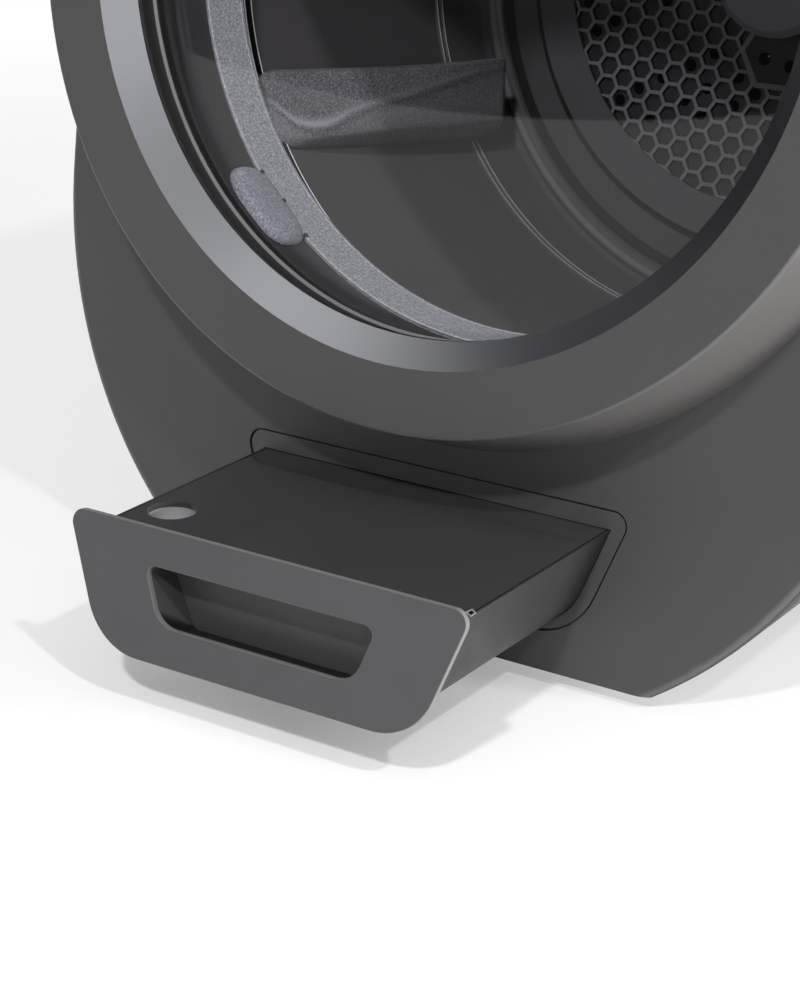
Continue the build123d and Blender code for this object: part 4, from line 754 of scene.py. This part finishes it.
def make_cell_tree():
    """Hexagonal cells side by side in a round field, each an open frame."""
    takes = [(name, FLOAT) for name in ("Pitch", "Wall", "Depth", "Field", "Clear")]
    takes.extend((name, MATERIAL) for name in ("Finish", "Sides"))
    gives = (("Geometry", GEOMETRY),)
    tree, start, end = new_group("grille_cells", "GeometryNodeTree", takes, gives)
    pitch = start["Pitch"]
    across = math_node(tree, "MULTIPLY", pitch, math.sqrt(3.0) / 2.0 * (CELL_COLUMNS - 1))
    along = math_node(tree, "MULTIPLY", pitch, CELL_ROWS - 1.0)
    grid = add(tree, "GeometryNodeMeshGrid")
    grid.inputs["Vertices X"].default_value = CELL_COLUMNS
    grid.inputs["Vertices Y"].default_value = CELL_ROWS
    join(tree, across, grid.inputs["Size X"])
    join(tree, along, grid.inputs["Size Y"])
    index = add(tree, "GeometryNodeInputIndex")
    column = math_node(tree, "FLOOR", math_node(tree, "DIVIDE", index.outputs[0], CELL_ROWS))
    odd = math_node(tree, "MODULO", column, 2.0)
    step = math_node(tree, "MULTIPLY", odd, math_node(tree, "MULTIPLY", pitch, 0.5))
    lift = add(tree, "ShaderNodeCombineXYZ")
    join(tree, step, lift.inputs["Y"])
    moved = add(tree, "GeometryNodeSetPosition")
    join(tree, grid.outputs["Mesh"], moved.inputs["Geometry"])
    join(tree, lift.outputs["Vector"], moved.inputs["Offset"])
    place = add(tree, "GeometryNodeInputPosition")
    distance = add(tree, "ShaderNodeVectorMath", operation="LENGTH")
    join(tree, place.outputs["Position"], distance.inputs[0])
    outside = math_node(tree, "GREATER_THAN", distance.outputs["Value"], start["Field"])
    inside = math_node(tree, "LESS_THAN", distance.outputs["Value"], start["Clear"])
    trimmed = add(tree, "GeometryNodeDeleteGeometry", domain="POINT")
    join(tree, moved.outputs["Geometry"], trimmed.inputs["Geometry"])
    join(tree, math_node(tree, "MAXIMUM", outside, inside), trimmed.inputs["Selection"])
    cell = add(tree, "GeometryNodeMeshCircle", fill_type="NGON")
    cell.inputs["Vertices"].default_value = 6
    join(tree, math_node(tree, "DIVIDE", pitch, math.sqrt(3.0)), cell.inputs["Radius"])
    inset = add(tree, "GeometryNodeExtrudeMesh", mode="FACES")
    inset.inputs["Offset Scale"].default_value = 0.0
    join(tree, cell.outputs["Mesh"], inset.inputs["Mesh"])
    shrunk = add(tree, "GeometryNodeScaleElements", domain="FACE")
    join(tree, inset.outputs["Mesh"], shrunk.inputs["Geometry"])
    join(tree, inset.outputs["Top"], shrunk.inputs["Selection"])
    share = math_node(tree, "DIVIDE", start["Wall"], pitch)
    join(tree, math_node(tree, "SUBTRACT", 1.0, share), shrunk.inputs["Scale"])
    sunk = add(tree, "GeometryNodeExtrudeMesh", mode="FACES")
    join(tree, shrunk.outputs["Geometry"], sunk.inputs["Mesh"])
    join(tree, inset.outputs["Top"], sunk.inputs["Selection"])
    join(tree, math_node(tree, "MULTIPLY", start["Depth"], -1.0), sunk.inputs["Offset Scale"])
    opened = add(tree, "GeometryNodeDeleteGeometry", domain="FACE")
    join(tree, sunk.outputs["Mesh"], opened.inputs["Geometry"])
    join(tree, sunk.outputs["Top"], opened.inputs["Selection"])
    # The cells' inner walls take the darker Sides finish: painted shade inside the cells.
    coats = ((None, start["Finish"]), (sunk.outputs["Side"], start["Sides"]))
    place_on_points(tree, trimmed.outputs["Geometry"], opened.outputs["Geometry"], coats, end)
    return tree


def make_spot_tree():
    """A flat round spot on every point of a mesh."""
    takes = (("Geometry", GEOMETRY), ("Radius", FLOAT), ("Finish", MATERIAL))
    gives = (("Geometry", GEOMETRY),)
    tree, start, end = new_group("round_spots", "GeometryNodeTree", takes, gives)
    spot = add(tree, "GeometryNodeMeshCircle", fill_type="NGON")
    spot.inputs["Vertices"].default_value = 20
    join(tree, start["Radius"], spot.inputs["Radius"])
    place_on_points(tree, start["Geometry"], spot.outputs["Mesh"], ((None, start["Finish"]),), end)
    return tree


def made_by(tree, name, points=(), **values):
    """Mesh that a node tree makes from points and named inputs."""
    base = bpy.data.meshes.new(name + "_maker")
    base.from_pydata(points, [], [])
    holder = bpy.data.objects.new(name + "_maker", base)
    scene.collection.objects.link(holder)
    modifier = holder.modifiers.new("maker", "NODES")
    modifier.node_group = tree
    for item in tree.interface.items_tree:
        if item.in_out == "INPUT" and item.socket_type != GEOMETRY:
            modifier[item.identifier] = values[item.name.lower()]
    view = bpy.context.evaluated_depsgraph_get()
    mesh = bpy.data.meshes.new_from_object(holder.evaluated_get(view))
    mesh.name = name
    holder.modifiers.remove(modifier)
    bpy.data.objects.remove(holder)
    return mesh


SPOT_TREE = make_spot_tree()


def add_spots(name, places, radius, finish, shift, stands_for=()):
    """Round spots on the drum, repeated at every third of a turn."""
    spots = made_by(SPOT_TREE, name, in_thirds(places), radius=radius, finish=FINISH[finish])
    spots.transform(LEANING @ Matrix.Translation(shift))
    finished(spots, "drum", None, stands_for)


def make_grille():
    cells = made_by(
        make_cell_tree(),
        "grille_cells",
        pitch=CELL_PITCH,
        wall=CELL_WALL,
        depth=CELL_DEPTH,
        field=GRILLE_RADIUS + CELL_PITCH,
        clear=CELL_CLEAR,
        finish=FINISH["grille_grey"],
        sides=FINISH["grille_back"],
    )
    cells.transform(LATTICE)
    for vertex in cells.vertices:
        distance = math.hypot(vertex.co.x, vertex.co.y)
        if distance > GRILLE_RADIUS:
            vertex.co.x *= GRILLE_RADIUS / distance
            vertex.co.y *= GRILLE_RADIUS / distance
    cells.transform(LEANING)
    finished(cells, "drum", None, ("honeycomb_grille",))
    # Dark plate behind the cells: painted shade at the cells' floors.
    back = CELL_FACE - CELL_DEPTH
    profile = band_profile(PLATE_BORE, PLATE_RIM, back - PLATE_THICKNESS, back)
    finished(lathe("grille_plate", profile), "drum", "grille_back")
    add_spots("air_holes", AIR_HOLES, AIR_HOLE_RADIUS, "hole_black", AIR_HOLE_SHIFT)


make_grille()


# Hub cover: three hexagonal lobes with raised borders and sunk screws; each screw is a flat black spot of
# painted shade with a small bright spot of painted glint

LOBE_DISTANCE = 0.0422
LOBE_RADIUS = 0.0213
LOBE_ANGLE = -85.4
LOBE_RIB = 0.0031
LOBE_TOP = GRILLE_DEPTH + 0.0007
LOBE_FOOT = GRILLE_DEPTH - CELL_DEPTH
LOBE_FLOOR = GRILLE_DEPTH - 0.0002
SCREW_PLACES = ((-3.3, -45.5), (11.5, -47.9))
SCREW_HOLE_RADIUS = 0.0034
SCREW_HOLE_SHIFT = (0.0, 0.0, GRILLE_DEPTH + 0.0001)
# Small bright spot on each screw hole: a painted glint.
GLINT_RADIUS = 0.0005
GLINT_SHIFT = (0.0022, 0.0016, GRILLE_DEPTH + 0.0003)
# The four loops of a border are its outer and inner edge on top, then the same at its foot.
BORDER_LOOPS = ((0, 1), (2, 0), (1, 3), (3, 2))


def hexagon(middle, radius, first):
    return [on_circle(radius, math.radians(first + 60.0 * corner), middle) for corner in range(6)]


def make_hub_lobes():
    rib_points = []
    rib_faces = []
    plate_points = []
    plate_faces = []
    for third in range(3):
        turn = THIRD_TURN * third
        middle = on_circle(LOBE_DISTANCE, math.radians(LOBE_ANGLE + turn))
        outer = hexagon(middle, LOBE_RADIUS, turn)
        inner = hexagon(middle, LOBE_RADIUS - LOBE_RIB, turn)
        start = len(rib_points)
        for depth in (LOBE_TOP, LOBE_FOOT):
            rib_points.extend((x, y, depth) for x, y in outer + inner)
        for side in range(6):
            after = (side + 1) % 6
            for loop, other in BORDER_LOOPS:
                low = start + loop * 6
                high = start + other * 6
                rib_faces.append((low + side, low + after, high + after, high + side))
        first = len(plate_points)
        plate_points.extend((x, y, LOBE_FLOOR) for x, y in inner)
        plate_faces.append(tuple(range(first, first + 6)))
    ribs = leaning_mesh("hub_ribs", rib_points, rib_faces, False)
    finished(ribs, "drum", "grille_grey", ("hub_cover",))
    plates = leaning_mesh("hub_plates", plate_points, plate_faces, False)
    finished(plates, "drum", "mouth_black")


make_hub_lobes()
add_spots("hub_screw_holes", SCREW_PLACES, SCREW_HOLE_RADIUS, "hole_black", SCREW_HOLE_SHIFT)
add_spots("hub_screw_glints", SCREW_PLACES, GLINT_RADIUS, "bright_bead", GLINT_SHIFT, ("hub_screws",))


# Painted highlight lines and painted shade bands on the drum

BEAD_RADIUS = DRUM_RADIUS - 0.001
BEAD_STEPS = 180
BEAD_SIDES = 6
# Depths and thickness of the thin bright rings that paint the highlights on the pressed beads' crests, and
# their finish
BEAD_HIGHLIGHT_LINES = {
    "front_bead_lines": ((-0.1208, -0.1260), 0.00030, "front_line"),
    "rear_bead_lines": ((-0.2945, -0.2995), 0.00022, "bead_line"),
}
# Black band between the front beads: painted shade in the gap between them.
FRONT_GAP_SHADE = (BEAD_RADIUS, BEAD_RADIUS + 0.0005, -0.1256, -0.1212)
ROLL_RADIUS = 0.1755
ROLL_WIDTH = 0.0062
ROLL_RISE = 0.0042
ROLL_FOOT = DRUM_REAR + 0.0003
BAND_FOOT = DRUM_REAR + 0.0001
BAND_TOP = DRUM_REAR + 0.0006
GROOVE_TOP = DRUM_REAR + 0.0008
# Inner radius, outer radius, top and finish of the bands on the rear wall: flat rings of darker coat that
# paint shade between groove and roll, close beside the roll, and in the groove
REAR_BANDS = {
    "rear_shade": (0.1488, 0.1636, BAND_TOP, "shade_coat"),
    "rear_hollow": (0.1636, 0.1720, BAND_TOP, "deep_coat"),
    "rear_groove": (0.1450, 0.1488, GROOVE_TOP, "deep_coat"),
}

for name, (depths, size, finish) in BEAD_HIGHLIGHT_LINES.items():
    profiles = [round_profile((BEAD_RADIUS, depth), size, BEAD_SIDES) for depth in depths]
    finished(lathe(name, *profiles, steps=BEAD_STEPS, smooth=True), "drum", finish)
finished(lathe("front_bead_gap_shade", band_profile(*FRONT_GAP_SHADE)), "drum", "hole_black")
roll = []
for angle in range(0, 181, 12):
    swing = math.radians(angle)
    roll.append((ROLL_RADIUS + ROLL_WIDTH * math.cos(swing), ROLL_FOOT + ROLL_RISE * math.sin(swing)))
finished(lathe("rear_roll", roll, smooth=True), "drum", "corner_coat")
for name, (inner, outer, top, finish) in REAR_BANDS.items():
    profile = band_profile(inner, outer, BAND_FOOT, top)
    finished(lathe(name, profile), "drum", finish)


# Mouth: painted highlight lines along the collar's front lip and rear edge, and small dark notch blocks
# beside the lamp, painted shade

COLLAR_STEPS = 200
COLLAR_SIDES = 10
# Radius and depth of each line, its thickness and its slot
COLLAR_LINES = {
    "collar_lip": ((0.1700, -0.0780), 0.0007, "speckled_plastic"),
    "collar_edge": ((0.1664, -0.0980), 0.0003, "bright_trim"),
}
# Turn in degrees and radius of each dark block standing for a shaded notch, the two depths of its ends, and
# its corners along and out
NOTCH_PLACES = ((-138.9, 0.1688), (-132.9, 0.1672), (-126.2, 0.1690))
NOTCH_DEPTHS = (-0.0766, -0.0785)
NOTCH_CORNERS = ((-0.0008, -0.0005), (0.0008, -0.0005), (0.0008, 0.0010), (-0.0008, 0.0010))
BOX_FACES = ((0, 3, 2, 1), (4, 5, 6, 7), (0, 1, 5, 4), (1, 2, 6, 5), (2, 3, 7, 6), (3, 0, 4, 7))

# Each line is a thin ring of light flecked plastic, a painted highlight along the collar's edge.
for name, (middle, size, slot_name) in COLLAR_LINES.items():
    profile = round_profile(middle, size, COLLAR_SIDES)
    finished(lathe(name, profile, steps=COLLAR_STEPS, smooth=True), "cabinet", "flecked_light")


def make_notch_shades():
    points = []
    faces = []
    for angle, radius in NOTCH_PLACES:
        turn = math.radians(angle)
        faces.extend(tuple(len(points) + corner for corner in face) for face in BOX_FACES)
        for depth in NOTCH_DEPTHS:
            for along, out in NOTCH_CORNERS:
                x, y = on_circle(radius + out, turn)
                points.append((x - along * math.sin(turn), y + along * math.cos(turn), depth))
    return leaning_mesh("lamp_notch_shades", points, faces, False)


# Small dark blocks at the lamp's edge: painted shade of the notches there.
finished(make_notch_shades(), "cabinet", "catch_grey")


# Lamp cover: a low dome on the mouth's wall, its outline a rounded oblong

# Middle and half size, each as a turn in degrees and a depth in metres
LAMP_MIDDLE = (-132.7, -0.0668)
LAMP_HALF = (7.6, 0.0144)
LAMP_BASE = 0.1722
LAMP_RISE = 0.0054
LAMP_STEPS = 64
LAMP_ROUNDNESS = 0.72
# Share of the half size and of the rise, from the crown to the foot
LAMP_ROWS = (
    (0.25, 1.0), (0.5, 0.985), (0.68, 0.95), (0.80, 0.88), (0.88, 0.78),
    (0.94, 0.64), (0.98, 0.44), (1.0, 0.2), (1.0, 0.0),
)


def rounder(value):
    return math.copysign(abs(value) ** LAMP_ROUNDNESS, value)


def make_lamp():
    points = [(*LAMP_MIDDLE, 1.0)]
    for reach, rise in LAMP_ROWS:
        for turn in turns(LAMP_STEPS):
            angle = LAMP_MIDDLE[0] + rounder(math.cos(turn)) * reach * LAMP_HALF[0]
            depth = LAMP_MIDDLE[1] + rounder(math.sin(turn)) * reach * LAMP_HALF[1]
            points.append((angle, depth, rise))
    faces = [(0, 1 + step, 1 + (step + 1) % LAMP_STEPS) for step in range(LAMP_STEPS)]
    faces.extend(loop_faces(len(LAMP_ROWS), LAMP_STEPS, 1))
    faces.append(tuple(reversed(range(len(points) - LAMP_STEPS, len(points)))))
    placed = []
    for angle, depth, rise in points:
        placed.append((*on_circle(LAMP_BASE - rise * LAMP_RISE, math.radians(angle)), depth))
    return leaning_mesh("lamp_cover", placed, [tuple(reversed(face)) for face in faces])


finished(make_lamp(), "cabinet", "flecked_lamp", ("drum_lamp",))


# Drawer: pale lining in the lid's hole and a small flat mark at the lid's front corner, a pale frame of
# painted highlight round a dark middle of painted shade

LID_HOLE = (-0.0740, -0.1382)
LID_HEIGHT = 0.07317
LINING_RADIUS = 0.0107
LINING_STEPS = 48
# Radius of the lining at each drop below the lid
LINING_ROWS = ((LINING_RADIUS, 0.0026), (LINING_RADIUS, 0.0135), (LINING_RADIUS - 0.002, 0.0140))
CORNER_GLINT = ((0.0858, -0.1592), (0.0863, -0.1548), (0.0898, -0.1574), (0.0899, -0.1618))
CORNER_GLINT_LIFT = 0.00015
CORNER_GLINT_FLOOR = 0.00005
CORNER_GLINT_OPENING = 0.62


def make_lining():
    points = []
    faces = []
    rows = len(LINING_ROWS)
    for step, turn in enumerate(turns(LINING_STEPS)):
        for radius, drop in LINING_ROWS:
            points.append((*on_circle(radius, turn, LID_HOLE), LID_HEIGHT - drop))
        low = step * rows
        high = (step + 1) % LINING_STEPS * rows
        for row in range(rows - 1):
            faces.append((low + row, high + row, high + row + 1, low + row + 1))
    return plain_mesh("hole_lining", points, faces, True)


def make_corner_glint():
    """Flat mark let into the lid: a pale frame of painted highlight round a dark middle of painted shade."""
    middle = [sum(corner[axis] for corner in CORNER_GLINT) / 4.0 for axis in (0, 1)]
    rows = ((1.0, 0.0), (1.0, CORNER_GLINT_LIFT), (CORNER_GLINT_OPENING, CORNER_GLINT_LIFT), (CORNER_GLINT_OPENING, 0.0))
    points = []
    for shrink, lift in (*rows, (CORNER_GLINT_OPENING, CORNER_GLINT_FLOOR)):
        for corner in CORNER_GLINT:
            place = [middle[axis] + (corner[axis] - middle[axis]) * shrink for axis in (0, 1)]
            points.append((*place, LID_HEIGHT + lift))
    faces = []
    for row in range(len(rows) - 1):
        for side in range(4):
            low = row * 4
            after = (side + 1) % 4
            faces.append((low + after, low + side, low + 4 + side, low + 4 + after))
    faces.append(tuple(reversed(range(len(points) - 4, len(points)))))
    mesh = plain_mesh("lid_corner_glint", points, faces, False)
    mesh.materials.append(FINISH["liner_grey"])
    mesh.materials.append(FINISH["hole_black"])
    mesh.polygons[-1].material_index = 1
    return mesh


finished(make_lining(), "tank", "liner_grey")
finished(make_corner_glint(), "tank")


# Camera, fitted to the door's circles, the drawer and the floor

CAMERA_AZIMUTH = math.radians(33.49)
CAMERA_ELEVATION = math.radians(20.73)
CAMERA_ROLL = math.radians(0.59)
CAMERA_LENS = 87.10
CAMERA_SENSOR = 36.0
CAMERA_PLACE = DOOR_CENTRE + Vector((0.53354, -0.82183, 0.13342))


def aim_camera():
    back = Vector(
        (
            math.sin(CAMERA_AZIMUTH) * math.cos(CAMERA_ELEVATION),
            -math.cos(CAMERA_AZIMUTH) * math.cos(CAMERA_ELEVATION),
            math.sin(CAMERA_ELEVATION),
        )
    )
    right = Vector((math.cos(CAMERA_AZIMUTH), math.sin(CAMERA_AZIMUTH), 0.0))
    up = back.cross(right)
    rolled_right = right * math.cos(CAMERA_ROLL) + up * math.sin(CAMERA_ROLL)
    rolled_up = up * math.cos(CAMERA_ROLL) - right * math.sin(CAMERA_ROLL)
    data = bpy.data.cameras.new("photo_camera")
    data.sensor_width = CAMERA_SENSOR
    data.lens = CAMERA_LENS
    camera = bpy.data.objects.new("photo_camera", data)
    scene.collection.objects.link(camera)
    turned = Matrix((rolled_right, rolled_up, back)).transposed()
    camera.matrix_world = Matrix.Translation(CAMERA_PLACE) @ turned.to_4x4()
    scene.camera = camera


aim_camera()


# Light and floor

# Place, target, width in metres and power in watts
LAMPS = {
    "front_lamp": ((0.70, -2.15, 2.30), (0.0, -0.06, 0.2), 0.17, 53.0),
    "right_lamp": ((1.85, -1.15, 2.30), (0.0, -0.06, 0.2), 0.12, 32.0),
    "fill_lamp": ((0.40, -2.60, 0.70), (0.0, -0.06, 0.1), 0.8, 8.0),
    "rim_lamp": ((2.2, 0.30, 0.35), (0.0, -0.06, 0.25), 0.5, 70.0),
}
FLOOR_REACH = 6.0
FLOOR_TONE = 0.86
FLOOR_ROUGHNESS = 0.8
# Seen from the camera the floor glows white, the more the farther it lies from the middle of the shadow,
# which paints light over the shadow's outer parts; these are the distances and shares
SHADOW_MIDDLE = (-0.03, -0.18, 0.0)
WHITE_NEAR = ((0.04, 0.20), (0.04, 0.52))
WHITE_FAR = ((0.30, 1.6), (0.0, 1.0))
# Strength of the world for matt surfaces, and what glossy surfaces mirror: a bowed ground line low down,
# a slanting canopy that rises and falls off again, and a little dusk between them
MATT_STRENGTH = 0.52
GROUND_LINE = (0.0478, 0.0492)
GROUND_STRENGTH = 0.45
GROUND_MIDDLE = 0.665
GROUND_BOW = 0.48
GROUND_BOW_LIMIT = 0.04
CANOPY_SLANT = 0.6
CANOPY_RISE = ((0.04, 0.76), (0.0, 0.99))
CANOPY_FALL = ((0.98, 1.08), (0.99, 0.60))
DUSK = ((0.12, 0.45), (0.012, 0.085))


def soft_lamp(name, spot, target, size, watts):
    data = bpy.data.lights.new(name, "AREA")
    data.shape = "DISK"
    data.size = size
    data.energy = watts
    lamp = bpy.data.objects.new(name, data)
    scene.collection.objects.link(lamp)
    lamp.location = spot
    lamp.visible_glossy = False
    lamp.visible_transmission = False
    lamp.rotation_mode = "QUATERNION"
    lamp.rotation_quaternion = (Vector(target) - Vector(spot)).to_track_quat("-Z", "Y")


def make_floor():
    signs = ((-1, -1), (1, -1), (1, 1), (-1, 1))
    corners = [(FLOOR_REACH * x, FLOOR_REACH * y, 0.0) for x, y in signs]
    mesh = plain_mesh("studio_floor", corners, [(0, 1, 2, 3)], False)
    floor = bpy.data.objects.new("studio_floor", mesh)
    scene.collection.objects.link(floor)
    material, tree, shader = new_material("pale_floor")
    shader.inputs["Base Color"].default_value = (FLOOR_TONE, FLOOR_TONE, FLOOR_TONE, 1.0)
    shader.inputs["Roughness"].default_value = FLOOR_ROUGHNESS
    white = add(tree, "ShaderNodeEmission")
    path = add(tree, "ShaderNodeLightPath")
    place = add(tree, "ShaderNodeTexCoord")
    distance = add(tree, "ShaderNodeVectorMath", operation="DISTANCE")
    distance.inputs[1].default_value = SHADOW_MIDDLE
    join(tree, place.outputs["Object"], distance.inputs[0])
    near = spread(tree, distance.outputs["Value"], *WHITE_NEAR)
    far = spread(tree, distance.outputs["Value"], *WHITE_FAR)
    whiter = math_node(tree, "MAXIMUM", near, far)
    share = math_node(tree, "MULTIPLY", path.outputs["Is Camera Ray"], whiter)
    mix_surface(tree, share, shader.outputs["BSDF"], white.outputs["Emission"])
    mesh.materials.append(material)


def make_world():
    world = bpy.data.worlds.new("studio")
    scene.world = world
    world.use_nodes = True
    tree = world.node_tree
    background = tree.nodes["Background"]
    path = add(tree, "ShaderNodeLightPath")
    way = add(tree, "ShaderNodeTexCoord")
    parts = add(tree, "ShaderNodeSeparateXYZ")
    join(tree, way.outputs["Object"], parts.inputs["Vector"])
    across = parts.outputs["X"]
    height = parts.outputs["Z"]
    toward = math_node(tree, "MULTIPLY", parts.outputs["Y"], -1.0)
    off_middle = math_node(tree, "ADD", math_node(tree, "DIVIDE", across, toward), GROUND_MIDDLE)
    square = math_node(tree, "MULTIPLY", off_middle, off_middle)
    bow = math_node(tree, "MULTIPLY", square, GROUND_BOW)
    level = math_node(tree, "SUBTRACT", height, math_node(tree, "MINIMUM", bow, GROUND_BOW_LIMIT))
    ground = spread(tree, level, GROUND_LINE, (GROUND_STRENGTH, 0.0))
    slope = math_node(tree, "ADD", height, math_node(tree, "MULTIPLY", across, CANOPY_SLANT))
    rising = spread(tree, slope, *CANOPY_RISE)
    falling = spread(tree, slope, *CANOPY_FALL)
    dusk = spread(tree, height, *DUSK)
    canopy = math_node(tree, "MAXIMUM", dusk, math_node(tree, "MINIMUM", rising, falling))
    mirrored = math_node(tree, "MAXIMUM", ground, canopy)
    glossy = path.outputs["Is Glossy Ray"]
    plain = math_node(tree, "SUBTRACT", 1.0, glossy)
    for_glossy = math_node(tree, "MULTIPLY", glossy, mirrored)
    for_matt = math_node(tree, "MULTIPLY", plain, MATT_STRENGTH)
    strength = math_node(tree, "ADD", for_glossy, for_matt)
    seen = math_node(tree, "MAXIMUM", path.outputs["Is Camera Ray"], strength)
    join(tree, seen, background.inputs["Strength"])
    background.inputs["Color"].default_value = (1.0, 1.0, 1.0, 1.0)


make_floor()
make_world()
for name, row in LAMPS.items():
    soft_lamp(name, *row)
